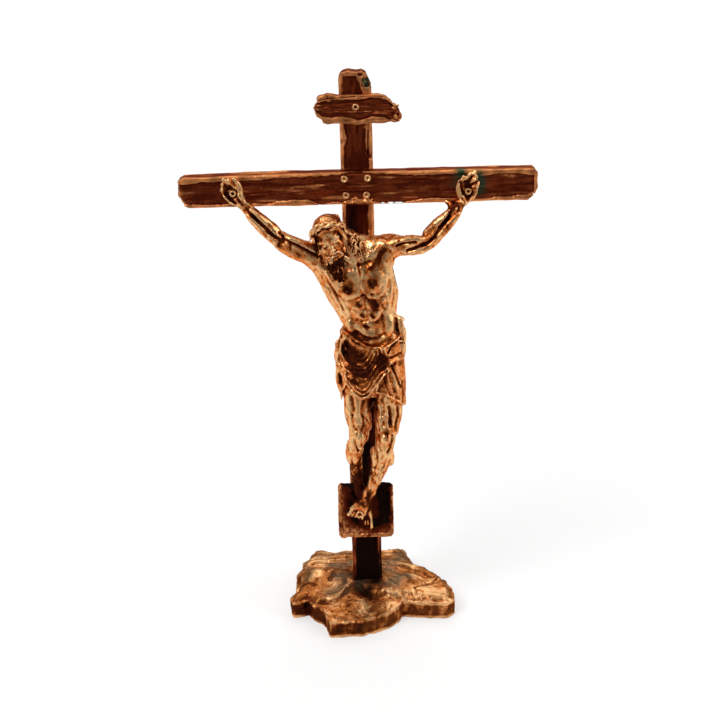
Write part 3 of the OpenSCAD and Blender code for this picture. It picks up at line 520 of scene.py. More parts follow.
def castMaterial(name, look):
    material = bpy.data.materials.new(name)
    material.use_nodes = True
    tree = material.node_tree
    tree.nodes.clear()
    w = Wires(tree)
    wearAndLight = w.add("ShaderNodeGroup")
    wearAndLight.node_tree = wearAndLightGroup
    for label in ("HollowAndShade Colour", "Plain Colour", "RidgeAndHighlight Colour", "DeepPatinaAndShade Colour", "Fine Reach",
                  "Broad Reach", "Level", "Speckle"):
        wearAndLight.inputs[label].default_value = look[label]
    colour = wearAndLight.outputs["Colour"]
    tint = w.remap(w.noise(look["tintScale"], 3, 0.6, look.get("stretch", (1, 1, 1))), 0.35, 0.68)
    tint = w.maths("MULTIPLY", tint, w.maths("SUBTRACT", 1.0, wearAndLight.outputs["DeepPatinaAndShade"]))
    colour = w.blend(w.maths("MULTIPLY", tint, look["tintShare"]), colour, look["tint"])
    stain = w.add("ShaderNodeAttribute", attribute_name="stain").outputs["Fac"]
    stain = w.maths("MULTIPLY", stain, w.remap(w.noise(900, 3, 0.6), 0.3, 0.6, 0.5, 1.0), True)
    colour = w.blend(stain, colour, look["stain"])
    rough = w.remap(w.noise(700, 3, 0.6), 0.3, 0.7, look["rough"] - 0.08, look["rough"] + 0.1)
    rough = w.maths("ADD", rough, w.maths("MULTIPLY", wearAndLight.outputs["HollowAndShade"], 0.25), clamp=True)
    coarse = w.noise(look["bumpScale"], 3, 0.6, look.get("stretch", (1, 1, 1)))
    bump = w.add("ShaderNodeBump", {"Strength": 1.0, "Distance": look["bumpDeep"],
                                    "Height": coarse})
    shader = w.add("ShaderNodeBsdfPrincipled", {"Base Color": colour, "Roughness": rough,
                                                "Metallic": look["metallic"],
                                                "Specular Tint": look["edge"],
                                                "Normal": bump.outputs["Normal"]})
    leave = w.add("ShaderNodeOutputMaterial")
    tree.links.new(shader.outputs[0], leave.inputs[0])
    return material


figureLook = {
    "HollowAndShade Colour": rgb(76, 18, 6), "Plain Colour": rgb(230, 128, 64),
    "RidgeAndHighlight Colour": rgb(255, 203, 143), "DeepPatinaAndShade Colour": rgb(62, 20, 9), "edge": (0.85, 0.6, 0.44, 1),
    "Fine Reach": 0.085, "Broad Reach": 0.5, "Level": 0.5,
    "Speckle": 0.85, "tint": rgb(214, 122, 50), "tintScale": 180, "tintShare": 0.4,
    "stain": rgb(70, 105, 92),
    "rough": 0.3, "bumpDeep": 0.00014, "bumpScale": 1100, "metallic": 0.92}
beamLook = {
    "HollowAndShade Colour": rgb(84, 26, 10), "Plain Colour": rgb(144, 64, 32),
    "RidgeAndHighlight Colour": rgb(244, 160, 98), "DeepPatinaAndShade Colour": rgb(24, 9, 6), "edge": (0.6, 0.4, 0.3, 1),
    "Fine Reach": 0.09, "Broad Reach": 0.5, "Level": -0.27,
    "Speckle": 0.45, "tint": rgb(92, 30, 10), "tintScale": 200, "tintShare": 0.6,
    "stain": rgb(58, 84, 62),
    "rough": 0.4, "bumpDeep": 0.00012, "bumpScale": 1300, "metallic": 0.85}
rockLook = {
    "HollowAndShade Colour": rgb(92, 35, 11), "Plain Colour": rgb(188, 112, 56),
    "RidgeAndHighlight Colour": rgb(255, 196, 136), "DeepPatinaAndShade Colour": rgb(34, 18, 10), "edge": (0.7, 0.5, 0.36, 1),
    "Fine Reach": 0.1, "Broad Reach": 0.5, "Level": 0.0,
    "Speckle": 0.75, "tint": rgb(132, 74, 30), "tintScale": 120, "tintShare": 0.5,
    "stain": rgb(112, 88, 66),
    "rough": 0.36, "bumpDeep": 0.00015, "bumpScale": 1000, "metallic": 0.88}
nailLook = dict(figureLook, **{"Plain Colour": rgb(190, 122, 70), "Level": 0.2})
figureBronze = castMaterial("figureBronze", figureLook)
beamBronze = castMaterial("beamBronze", beamLook)
rockBronze = castMaterial("rockBronze", rockLook)
nailBronze = castMaterial("nailBronze", nailLook)
steelLook = dict(figureLook, **{
    "HollowAndShade Colour": rgb(60, 60, 62), "Plain Colour": rgb(150, 150, 154),
    "RidgeAndHighlight Colour": rgb(205, 205, 210), "tint": rgb(120, 118, 116), "rough": 0.35})
steel = castMaterial("steel", steelLook)
# ---- the figure's body and arms

shoulderCut = {"slope": 12, "right": (-14, 7.4, 140), "left": (9.6, 7.4, 142.4)}
slabSet = {"thick": 6.0, "taper": 3.4}          # footrest: depth at its foot, and how much it loses
footrestLow, footrestHigh = boxMm("footrest")


def onFootrest(x, z, rise):                     # a point above the sloping footrest
    share = (z - (footrestLow[2] - lift)) / (footrestHigh[2] - footrestLow[2])
    return at(x, slabSet["thick"] - slabSet["taper"] * share + rise, z)


def figureRows(rows):
    return [(*at(*row[:3]), *row[3:]) for row in rows]


def lifted(points):                             # points of the figure's front, x and height
    return [(x, z + lift) for x, z in points]


def layBalls(clay, table, blend):               # rows are x, out, z, three radii, turn
    for x, out, z, rx, ry, rz, turn in table:
        clay.ball(at(x, out, z), (rx, ry, rz), (0, turn, 0), blend)


def layStrands(clay, table, blend):
    for rows in table:
        clay.strand(figureRows(rows), blend)


def layLines(clay, table, ahead=-farOff, behind=farOff, paint=None):
    for points, width, depth in table:
        clay.stroke(lifted(points), width, depth, ahead, behind, paint=paint)


trunkSet = {                                    # points are x, distance in front, height
    "spine": [
        (3, 7, 90, 7, 5.2), (3.2, 7.2, 99.8, 9.6, 6.2), (3.5, 7, 106.8, 9, 6.1),
        (3.4, 6.9, 113.8, 8.4, 5.6), (2.9, 7, 119.1, 8.7, 5.9), (1.8, 7.3, 125.3, 10.4, 6.4),
        (0.9, 7.3, 131.4, 11.4, 6.4), (-0.4, 7, 136.7, 11.6, 5.8), (-1.4, 6.6, 140.7, 10.4, 4.6),
        (-1.8, 6.2, 143.3, 7.6, 3.4)],
    "girdle": [
        (-15.5, 7.2, 139.4, 4, 3.9), (-11, 7.3, 140.6, 4.6, 4.4), (-5.5, 7, 140.8, 4.8, 4.6),
        (0, 7, 139.8, 4.8, 4.8), (5, 7.2, 140.8, 4.6, 4.6), (10.5, 7.4, 142.4, 4.3, 4)],
    "chest": [(4.6, 10.9, 131.2, 4.5, 3.5, 4.5, 10), (-4.5, 10.4, 130.2, 4.6, 3.4, 4.2, -30)],
    "bands": [
        [(3.8, 10, 135, 3.3), (6.6, 9.5, 137.6, 3.1), (9, 8.8, 141, 2.7)],
        [(-3, 9.8, 133.8, 3.4), (-6.8, 9.4, 135.2, 3.4), (-12.2, 8.6, 138.4, 3)],
        [(-6.4, 9.9, 131.4, 3.4), (-10.2, 9, 135, 3.2), (-13.6, 8.4, 138.4, 2.9)],
        [(6.8, 10, 132.6, 3.3), (8.5, 9.2, 136, 2.8), (9.2, 8.6, 140.2, 2.5)]],
    "flanks": [
        [(-14.6, 6.6, 138.2, 2.8), (-11.9, 6.4, 132.6, 2.9), (-8.9, 6.4, 126.4, 2.9),
         (-6.2, 6.2, 121, 2.6), (-4.4, 6.2, 116.6, 2.4)],
        [(8.8, 6.8, 142, 2.6), (8.6, 6.8, 136.6, 2.5), (9.6, 6.8, 131.4, 2.9), (10, 6.6, 126, 2.8),
         (9.6, 6.4, 120, 2.4)]],
    "belly": [
        (-0.6, 11.3, 124.2, 2.9, 2, 2.5, 20), (4.7, 11.6, 124.4, 3.3, 2.1, 2.7, -14),
        (0.4, 11.1, 120.4, 2.3, 2, 1.9, 10), (4.3, 11.3, 120.2, 2.2, 2, 2, -4),
        (2.7, 10.8, 116.4, 4, 2.2, 2.4, 0), (3.4, 10.2, 111.6, 4.6, 3.4, 3.6, 0),
        (-2.6, 8.6, 115.4, 2.6, 3.6, 4.2, -12), (9.3, 8.7, 115.6, 2.6, 3.6, 4.4, 12)],
    "bones": [
        [(0.6, 10.8, 138.4, 0.8), (4.4, 11, 140.6, 0.85), (8.8, 10, 143.6, 0.9)],
        [(-1.5, 10.8, 137.8, 0.8), (-6.4, 10.9, 139, 0.8), (-12, 9.6, 140.6, 0.8)],
        [(-5.2, 8.6, 113.8, 1.3), (-3.4, 10.9, 111.8, 1.3), (-0.6, 12.4, 109.4, 1.1)],
        [(12.2, 8.2, 112.4, 1.3), (10.2, 11, 110.2, 1.3), (7.4, 12.6, 108.6, 1.1)],
        [(-0.2, 11.3, 137.6, 0.75), (-2.4, 11.8, 141, 1.1), (-5.4, 10.8, 145.6, 1.3)],
        [(-0.9, 11.3, 137.4, 0.7), (-4.4, 12.2, 140, 1), (-9.4, 12, 143, 1.2)]],
    "neck": [(-1.6, 6.6, 139, 4.4, 3.9), (-3.4, 8, 144, 3.5, 3.4), (-6, 9.6, 147.5, 3.2, 3.4)],
    "nape": [(-5, 6.4, 147, 2.2), (0, 6.6, 144.4, 2.6), (6, 7, 143, 2.6)],
    "furrows": [
        ([(-0.4, 136.4), (0.2, 133.4), (-0.1, 130.4), (0.9, 127.6)], 0.6, 0.36),
        ([(-9.6, 131), (-8, 127.4), (-5.4, 125.6), (-2.2, 125.9), (0.2, 127.2)], 0.8, 0.34),
        ([(1, 127), (3.4, 125.7), (6.6, 125.9), (9.2, 128.6), (9.9, 132.2)], 0.8, 0.3),
        ([(1.3, 125.8), (1.9, 122.4), (2.4, 119.4)], 0.5, 0.22),
        ([(-3.4, 122), (-0.8, 121.9), (1.4, 122.7)], 0.55, 0.3),
        ([(2.8, 122.5), (5.2, 121.8), (7.4, 122.4)], 0.55, 0.28),
        ([(-1.2, 118.6), (0.8, 118), (2.4, 118.5)], 0.5, 0.28),
        ([(3.4, 118), (5, 117.6), (6.6, 118.4)], 0.5, 0.25),
        ([(0.8, 117.2), (1.8, 117.9), (2.9, 117)], 0.35, -0.12),
        ([(0.8, 115.4), (2, 114.6), (3.2, 115.4)], 0.35, -0.12),
        ([(-1.4, 113.8), (1.2, 112.4), (4.2, 112), (7.4, 113.2)], 0.6, 0.4),
        ([(-3, 113.4), (1, 110.8), (5, 110.6), (8.4, 112)], 0.7, -0.12),
        ([(-4.2, 123.6), (-3, 119.6), (-2.4, 116), (-1.4, 113.2)], 0.9, 0.35),
        ([(8.3, 124), (7.4, 119.6), (7.6, 115.6), (8.1, 113)], 0.9, 0.35),
        ([(-12.6, 135.6), (-10.4, 131), (-8, 126.6), (-5.8, 121)], 0.35, 0.28),
        ([(-11.2, 135.6), (-9.4, 131.6), (-7.6, 128.4)], 0.35, -0.3),
        ([(-9.4, 127.6), (-7.6, 123.8), (-5.6, 119.4)], 0.4, -0.3),
        ([(9.9, 134.8), (10.6, 130.4), (10.4, 126)], 0.35, -0.28),
        ([(11.2, 132.6), (11.4, 128), (10.6, 122)], 0.3, 0.22),
        ([(8.6, 127.4), (9.6, 124.8), (9.4, 121.6)], 0.35, -0.25),
        ([(2.4, 138), (5, 139.2), (7.6, 141)], 0.7, 0.12),
        ([(-2.6, 136.4), (-6.4, 137.4), (-10.4, 138.8)], 0.7, 0.3),
        ([(9.2, 143.2), (8.2, 141), (6.4, 138.6), (4.2, 136.2)], 0.8, 0.18),
        ([(8.2, 138.2), (8.9, 135), (9, 131)], 0.5, -0.16),
        ([(0.7, 134.4), (0.5, 131.4), (1.4, 128.4), (4.2, 126.9), (7.4, 127.8), (8.8, 130.6)],
         0.5, -0.14),
        ([(-12.6, 140.4), (-12, 138.4), (-10.8, 136.4)], 0.8, 0.4),
        ([(-0.5, 138.6), (-0.4, 137.6)], 0.6, 0.6)],
    # tone: painted dark reflections on the full parts, painted highlights along the seams, a
    # lighter chest, and painted shade at the waist under the cloth's edge
    "tone": [
        ([(5.2, 117.6), (6, 117.2)], 0.6, -1.6),
        ([(3.4, 136.4), (2.4, 134.6), (3.6, 134)], 0.9, -1.7),
        ([(-5.4, 133.6), (-7, 135.4)], 1.5, -2),
        ([(0.2, 112.9), (4.4, 111.9), (6.4, 112.6)], 0.6, -2.6),
        ([(-2.6, 114.2), (-1.4, 113)], 0.7, -2.2), ([(-4.4, 118.6), (-3.6, 116.4)], 0.6, -1),
        ([(-4.6, 112.6), (-1, 110.4), (4.4, 109.6), (9.6, 110.4)], 1, -2),
        ([(7.4, 137.2), (8, 134), (7.6, 130.4)], 1.2, 0.8),
        ([(-2.4, 135), (-6.6, 132.6)], 1.2, 0.3),
        ([(-0.6, 137.6), (1.6, 138.4), (3.4, 139.2)], 0.5, -1.8),
        ([(-7.6, 114.4), (-5.8, 113.5), (-3.4, 113)], 0.7, -1.6),
        ([(-2.4, 112.8), (-0.2, 111.9), (2.4, 111.5)], 0.7, -1.9),
        ([(-5.6, 113.6), (-4.6, 111.4)], 0.9, -2.2), ([(-1.4, 121), (-2.4, 118)], 1.2, -0.6),
        ([(6.4, 120), (7, 116)], 0.9, -0.7), ([(6.9, 124.8), (7.6, 122.6)], 0.6, -1.1),
        ([(1.2, 129.2), (1.9, 127.2)], 0.5, -1.8),
        ([(-0.8, 132.6), (-1.4, 131.6), (-0.6, 130.4)], 0.8, 1.2),
        ([(-2.6, 134), (-1.4, 132.8)], 0.7, 0.8), ([(1.4, 139), (4.4, 141.4), (8.2, 144)], 1, 0.8),
        ([(0.8, 133.8), (0.9, 130.6), (2.2, 127.6), (5, 126.6), (7.9, 127.8), (8.9, 131)],
         0.7, 0.5),
        ([(-6.8, 128.1), (-4.3, 126.8), (-1.4, 128)], 0.6, 0.9),
        ([(1.1, 125.6), (1.9, 122.2), (2.3, 118.8)], 0.6, 0.45),
        ([(-2.8, 121.9), (-0.4, 122.2), (1.8, 122), (4.6, 121.7), (6.8, 122.2)], 0.6, 0.4),
        ([(-0.4, 118.2), (1.6, 118.3), (3.6, 117.8), (5.4, 118)], 0.5, 0.35),
        ([(9.8, 137), (10.6, 132), (10.6, 126), (9.8, 119), (9.4, 115)], 1.7, 0.9),
        ([(-12.6, 136.4), (-10.4, 131), (-7.8, 125.4), (-5, 119)], 1.3, 0.8),
        ([(-3.4, 118), (0.4, 115), (5, 115.4), (8, 117.4)], 1, 0.35),
        ([(-7, 133), (0, 134), (8, 134)], 6, 0.42)],
    # dark: painted dark reflections in the middle of the pectorals and the belly's bulges, and
    # painted shade in the furrow below the left collar bone
    "dark": [
        [(4.2, 14.2, 132, 1.9), (4.6, 14.2, 131.2, 1.9)],
        [(-4.3, 13.7, 129.6, 1.6), (-3.7, 13.7, 129.2, 1.6)],
        [(-0.8, 13.2, 124.5, 1.15), (-0.2, 13.2, 123.6, 1.1)],
        [(4.1, 13.6, 124.5, 1.5), (5.1, 13.6, 123.3, 1.4)],
        [(0.2, 13, 120.6, 0.85), (0.9, 13, 120, 0.85)],
        [(3.6, 13.2, 120.3, 0.8), (4.2, 13.2, 119.6, 0.8)],
        [(1.3, 13, 116.4, 0.9), (1.9, 13, 116.1, 0.9)],
        [(8.4, 12.2, 142.5, 1.1), (6.8, 12.8, 140.6, 1.25), (5.4, 13.2, 138.4, 1.25),
         (4.2, 13.4, 136.9, 1)]],
    "nipples": [(-4.6, 129.1), (5, 130.5)]}


def sculptTrunk(clay):
    clay.column(figureRows(trunkSet["spine"]), 0.5, 2.2)
    clay.limb(figureRows(trunkSet["girdle"]), 1.5)
    layBalls(clay, trunkSet["chest"], 0.9)
    layStrands(clay, trunkSet["bands"], 1.3)    # from the chest up to the arms
    layStrands(clay, trunkSet["flanks"], 1.6)   # from armpit to waist
    layBalls(clay, trunkSet["belly"], 1.6)      # uneven pairs under one skin
    layStrands(clay, trunkSet["bones"], 0.8)    # collar bones, edge of the hips, neck tendons
    clay.limb(figureRows(trunkSet["neck"]), 1.2)
    clay.strand(figureRows(trunkSet["nape"]), 1.6)
    layLines(clay, trunkSet["furrows"], frontY - 20, frontY - 9)
    layLines(clay, trunkSet["tone"], paint="tone")      # painted dark reflections on full parts, painted highlights on seams
    for rows in trunkSet["dark"]:               # the darkest painted reflections, with sharp edges
        clay.dab(figureRows(rows), -2.9)
    for x, z in trunkSet["nipples"]:
        clay.ball(at(x, 14.3, z), (0.4, 0.35, 0.4), blend=0.3)
    clay.ball(at(1.6, 13.3, 116.2), (0.5, 0.9, 0.6), blend=0.4, cut=True)         # navel
    clay.ball(at(-7.2, 12.6, 122.8), (0.9, 0.8, 0.25), (0, 40, 0), 0.25, True)    # wound


legSet = {                                      # the left leg crosses in front of the right
    "right": [
        (-1.4, 7.4, 100.2, 5.2, 5.6), (-1.8, 8.6, 92, 5.1, 5.3), (-1.9, 10.4, 84, 4.3, 4.7),
        (-1.6, 11.5, 78.5, 3.5, 4), (-1.9, 11.7, 74.5, 3.4, 3.9), (-3.2, 10.8, 70.6, 2.9, 3.8),
        (-3.3, 9.6, 67, 2.6, 3.5), (-3, 8.4, 62.6, 2.2, 2.8), (-2.8, 7.2, 57.5, 1.9, 2.2),
        (-2.3, 6.4, 53, 1.7, 2), (-1.6, 6, 50, 1.7, 2), (-1, 5.4, 47.6, 1.1, 1.4)],
    "left": [
        (8.2, 7.4, 100.2, 5.4, 5.7), (8.8, 9, 92, 5.2, 5.4), (8.7, 11, 84, 4.5, 4.8),
        (7.8, 12.5, 78.5, 3.7, 4.1), (7.4, 13, 74.8, 3.5, 3.9), (6.8, 12.3, 70, 3.3, 3.9),
        (5.8, 11.5, 65, 3.2, 3.7), (4.6, 10.7, 60.8, 2.7, 3.1), (3, 9.9, 56.4, 2.2, 2.4),
        (1.5, 9.3, 52.8, 2, 2.2), (0.7, 8.6, 50.4, 2, 2.1), (0, 8.2, 48, 1.5, 1.6)],
    "muscles": [
        (-4.4, 10.2, 86.5, 2.2, 3.4, 7.5, 4), (0.6, 11.4, 82.5, 2.2, 3.2, 5.2, -8),
        (-1.9, 12.6, 87, 2, 2.6, 8.5, 0), (1.4, 8.8, 90, 2.6, 3.4, 6, 0),
        (-1.2, 14.6, 76.2, 1.7, 1.5, 1.8, 0), (-1.6, 14.2, 72.4, 1.2, 1.1, 1.6, 0),
        (-4.8, 9.4, 69, 1.8, 3.2, 4.8, 4), (-1.9, 9.8, 69.6, 1.3, 2.4, 3.8, 8),
        (11.2, 10.6, 86, 2.4, 3.4, 7.6, -3), (6.2, 12.6, 82, 2.1, 3.2, 4.8, 10),
        (8.6, 13.2, 88, 2.2, 2.6, 8.5, 2), (11, 12.6, 79.4, 1.5, 2.2, 3.2, -6),
        (7.3, 16.2, 76, 1.8, 1.5, 1.9, 0), (7, 15.6, 71.8, 1.2, 1.2, 1.7, 0),
        (8.6, 11.4, 68.4, 1.8, 3.2, 4.6, -10), (3.4, 11.4, 67.6, 1.3, 2.2, 3.8, -4),
        (5.6, 13.6, 62, 1.2, 1.4, 4.4, 20)],
    "bones": [
        [(-2.6, 13.8, 71, 0.7), (-3.5, 12, 66, 0.65), (-3, 10, 61, 0.6), (-1.6, 8.8, 56, 0.6)],
        [(6.1, 15.2, 70.4, 0.8), (5, 14, 64.5, 0.7), (3.6, 12.6, 59.5, 0.7),
         (1.6, 10.9, 53.4, 0.7)],
        [(2.9, 10.2, 53.6, 0.8), (2.6, 9.8, 52, 0.8)]],
    "furrows": [
        ([(-4.1, 91), (-3.3, 87.4), (-3.9, 83), (-2.7, 79)], 0.5, 0.45),
        ([(0.4, 90), (-0.7, 86.4), (-0.1, 82), (-0.9, 79.2)], 0.45, 0.4),
        ([(-3.2, 75.8), (-2.9, 73.4), (-2.2, 71.2)], 0.45, 0.45),
        ([(0.8, 76.2), (0.6, 73.8), (-0.2, 71.2)], 0.45, 0.45),
        ([(-4.4, 71), (-4.6, 67), (-4, 63.4)], 0.5, 0.25),
        ([(8.7, 87.4), (9.3, 85), (9, 82), (9.3, 80.4)], 0.65, 0.95),
        ([(6.4, 90), (7.2, 87), (6.6, 83.4), (7.3, 80.8)], 0.45, 0.35),
        ([(11.4, 88), (11.9, 84.4), (11, 81), (11.2, 78.4)], 0.5, 0.4),
        ([(9.7, 77), (9.4, 74.2), (8.4, 71.4)], 0.5, 0.55),
        ([(5.2, 77.2), (5.2, 74.6), (6, 71.6)], 0.45, 0.45),
        ([(7.9, 70.6), (7.4, 67.4), (6.2, 64.6)], 0.5, 0.3),
        ([(4.3, 70.6), (4.5, 67), (3.7, 64)], 0.4, 0.5)],
    # tone: painted shade between and behind the legs, painted highlights on the thighs, knees and
    # left shin
    "tone": [
        ([(-3.4, 63), (-3.2, 58), (-2.8, 52), (-1.6, 48)], 2, -2.6, -8.4),
        ([(-3.9, 64), (-3.4, 60), (-3, 55.4)], 1.6, -2.4, -20),
        ([(-2.7, 60), (-1.4, 55)], 0.9, -2.6, -20), ([(-1.2, 49), (-2.6, 46.6)], 0.8, -1, -20),
        ([(2, 54), (0.9, 49.4), (0, 46.8)], 1.9, -1.3, -20),
        ([(1.2, 53), (0.2, 48)], 1.3, -1.7, -20), ([(8.4, 76), (9.2, 72)], 0.7, -1.2, -20),
        ([(2.9, 62), (2.4, 57)], 0.8, -1.3, -20), ([(-0.8, 54), (0.4, 48)], 2.4, -2.4, -8.6),
        ([(-1.6, 68), (-2, 64), (-1.4, 59.4)], 0.9, -2.2, -20),
        ([(0.6, 76), (-0.4, 72), (-0.4, 66)], 1.3, -2.6, -9.6),
        ([(2.6, 90), (2.6, 84), (2.4, 79)], 0.9, -1.9, -12),
        ([(9, 86.6), (9.2, 81.6)], 0.8, -2.6, -20), ([(-3.6, 90), (-3.2, 86)], 0.9, -1.5, -20),
        ([(-0.8, 79.6), (0.4, 80.4)], 0.9, -1.6, -20), ([(0.3, 90), (-0.2, 86)], 1, -1.7, -20),
        ([(11.6, 86.4), (11.4, 82)], 0.8, -1.3, -20),
        ([(7.4, 89.4), (6.4, 84), (6.8, 80)], 0.9, 1.3, -20),
        ([(-2.2, 89), (-2, 83)], 1.2, 1.1, -20), ([(10.4, 88), (10.2, 82)], 0.8, 1, -20),
        ([(-4.9, 90), (-4.8, 82)], 0.8, 1, -20), ([(6.4, 75), (5.2, 66), (3.4, 59)], 1.9, 0.5, -20),
        ([(7.9, 78.4), (8.4, 77.2)], 0.7, -1.7, -20), ([(-1, 74.4), (-0.2, 73)], 0.8, -1, -20),
        ([(-4.8, 73), (-4.6, 67)], 1.4, 0.5, -20)],
    "marks": 110}


def sculptLegs(clay):
    clay.column(figureRows(legSet["right"]), 0.8)
    clay.column(figureRows(legSet["left"]), 0.5)
    layBalls(clay, legSet["muscles"], 0.7)
    layStrands(clay, legSet["bones"], 0.6)
    ahead, front = frontY - 22, frontY - 8.5
    layLines(clay, legSet["furrows"], ahead, front)
    dice = np.random.default_rng(41)
    for _ in range(legSet["marks"]):            # short hollows and seams left by the modeller
        x, z = dice.uniform(-6, 11), dice.uniform(54, 92)
        lean, long = dice.uniform(-0.9, 0.9), dice.uniform(0.8, 2.4)
        line = [(x, z), (x + lean * 0.6, z + long / 2), (x + lean, z + long)]
        width, depth = dice.uniform(0.22, 0.4), dice.choice([-0.16, 0.24])
        layLines(clay, [(line, width, depth)], ahead, front + 2)
    for *line, ahead in legSet["tone"]:         # painted shade between and behind the legs, painted highlights on the thighs, knees and left shin
        layLines(clay, [line], frontY + ahead, frontY, "tone")


footSet = {                                     # inner is the side of the big toe
    "back": {"heel": (-0.8, 48.4, 1.4), "ball": (-0.3, 41, 1), "ankle": (-2, 6.4, 53),
             "inner": -1, "wide": 3.5, "toes": (3.9, 3, 2.6, 2.3, 2)},
    "front": {"heel": (0.6, 50.4, 4), "ball": (-2.8, 44.4, 3.9), "ankle": (1.5, 9.3, 53),
              "inner": 1, "wide": 4.5, "toes": (2.5, 2.4, 2.3, 2.1, 1.9)},
    # tone: painted shadow over the back foot, painted highlights on its toes
    "tone": [
        ([(-0.6, 47), (-0.3, 41), (0, 38)], 2.6, -3.2),
        ([(1.2, 43), (2.1, 40), (2.3, 37)], 0.6, 4.2), ([(0.65, 40.2), (0.6, 38.2)], 0.3, 4.4),
        ([(-0.35, 40), (-0.45, 38)], 0.3, 4.2), ([(-1.5, 40.6), (-2.6, 39.2)], 0.8, -3)]}


def sculptFoot(clay, foot):
    heel, ball = np.array(onFootrest(*foot["heel"])), np.array(onFootrest(*foot["ball"]))
    wide = foot["wide"]
    way = (ball - heel) / np.linalg.norm(ball - heel)
    side = np.cross(way, [0, -1, 0]) * foot["inner"]
    side /= np.linalg.norm(side)
    up = np.array([0, -1.0, 0])
    instep = heel + way * 2.6 + up * 0.9
    clay.strand([(*at(*foot["ankle"]), 2.0), (*(heel + up * 0.3), 2.0), (*instep, 1.9),
                 (*(ball - way * 0.8 + up * 0.1), 1.5)], 0.7)
    clay.strand([(*(heel - side * 0.3), 1.9), (*(heel - way * 1.4), 1.7)], 0.6)
    for share, radius in ((-0.42, 1.15), (-0.14, 1.2), (0.14, 1.15), (0.42, 1.25)):
        clay.strand([(*(instep + side * share * 2.4), 1.3),
                     (*(ball + side * share * wide), radius * wide / 4.4)], 0.5)
    for k, (long, radius) in enumerate(zip(foot["toes"], (0.8, 0.56, 0.54, 0.52, 0.5))):
        root = ball + side * (0.5 - k / 4) * wide
        gap = ball + side * (0.4 - k / 4) * wide
        line = [(gap - way * 0.3)[::2], (gap + way * long)[::2]]
        if k < 4:                               # a gap to the next toe, with painted shade in it
            clay.stroke(line, 0.2, 0.45, gap[1] - 3, gap[1] + 1.5)
            clay.stroke(line, 0.22, -2.0, gap[1] - 3, gap[1] + 1.5, paint="tone")
        joint = root + way * long * 0.5 + up * 0.35
        tip = root + way * long - up * 0.15 - side * 0.12 * (k - 1)
        clay.strand([(*root, radius), (*joint, radius * 0.9), (*tip, radius)], 0.1)


armSet = {                                      # muscles are two ends, half across, half deep
    "right": {
        "bones": [
            (-9.6, 7.2, 139.2, 4, 3.8), (-15, 7.6, 140.2, 3.8, 3.8), (-20.6, 8, 142.7, 3.5, 3.4),
            (-26.2, 8, 146, 2.9, 2.9), (-30.6, 7.4, 149.8, 2.9, 2.7), (-34.8, 6, 154.1, 2.2, 1.9),
            (-38.4, 5.2, 157.6, 1.7, 1.5)],
        "muscles": [
            ((-15, 9.8, 142.6), (-26.4, 9.8, 147.4), 2, 2.2),
            ((-14, 8.4, 138.6), (-28, 8, 144.4), 2.5, 3),
            ((-11, 8.6, 140.6), (-20.6, 8.8, 144.2), 2.6, 3),
            ((-25.8, 9.4, 148), (-37, 6.4, 157), 1.6, 2),
            ((-26.2, 8.6, 144.6), (-37.4, 5.8, 155.2), 1.9, 2.4)],
        "furrows": [
            ([(-38.4, 158.2), (-35, 154.7), (-31.6, 151), (-28.6, 148.1), (-25.4, 145.9)],
             0.6, 1.15),
            ([(-25, 146.9), (-20.8, 144.9), (-16.2, 142.1), (-13.6, 140.8)], 0.6, 0.95),
            ([(-26.4, 148.6), (-25.4, 147.4)], 0.5, 0.6)],
        "cords": [[(-27.4, 9.6, 144.2, 0.9), (-26, 9.9, 143.6, 0.8)]]},
    "left": {
        "bones": [
            (5.6, 7.2, 142.4, 3.6, 3.8), (11, 7.6, 143, 3.4, 3.6), (16.6, 8, 142.7, 3.2, 3.3),
            (22.2, 8, 143.4, 2.8, 2.9), (26.6, 7.4, 147.4, 2.9, 2.7), (31, 6, 151.8, 2.2, 1.9),
            (34.2, 5.1, 156, 1.7, 1.5)],
        "muscles": [
            ((10.5, 9.8, 144.4), (22.4, 9.8, 145.4), 1.9, 2.2),
            ((12, 8.4, 141.9), (23, 8.2, 141.8), 2.2, 3),
            ((8, 8.8, 143.6), (15.6, 9.2, 143.4), 2.6, 3),
            ((21.6, 9.4, 146.6), (33, 6.2, 155.6), 1.6, 2),
            ((22.6, 8.8, 142.6), (34.2, 5.8, 153.8), 1.9, 2.4)],
        "furrows": [
            ([(16.2, 141.8), (19.8, 142.9), (22.8, 144), (25, 145.9), (27, 148.6), (29, 151.3),
             (31, 154.2), (33, 157)], 0.6, 1.15),
            ([(12.4, 143.7), (15.2, 144.5), (18.8, 144.8)], 0.5, 0.95)],
        "cords": [[(23.2, 9.8, 142.2, 0.9), (22, 9.9, 141.8, 0.8)]]}}


def sculptArm(clay, arm):
    clay.limb(figureRows(arm["bones"]), 1.0)
    for a, b, across, deep in arm["muscles"]:   # spindles between two points
        a, b = np.array(at(*a)), np.array(at(*b))
        middle, way = (a + b) / 2, b - a
        turn = math.degrees(math.atan2(way[0], way[2]))
        clay.ball(middle, (across, deep, np.linalg.norm(way) / 2), (0, turn, 0), 0.6)
    layStrands(clay, arm["cords"], 0.5)
    for points, width, depth in arm["furrows"]:
        layLines(clay, [(points, width, depth)], frontY - 20, frontY - 7)
        # painted shade along the furrow
        layLines(clay, [(points, width, -2.4)], frontY - 20, frontY - 7, "tone")


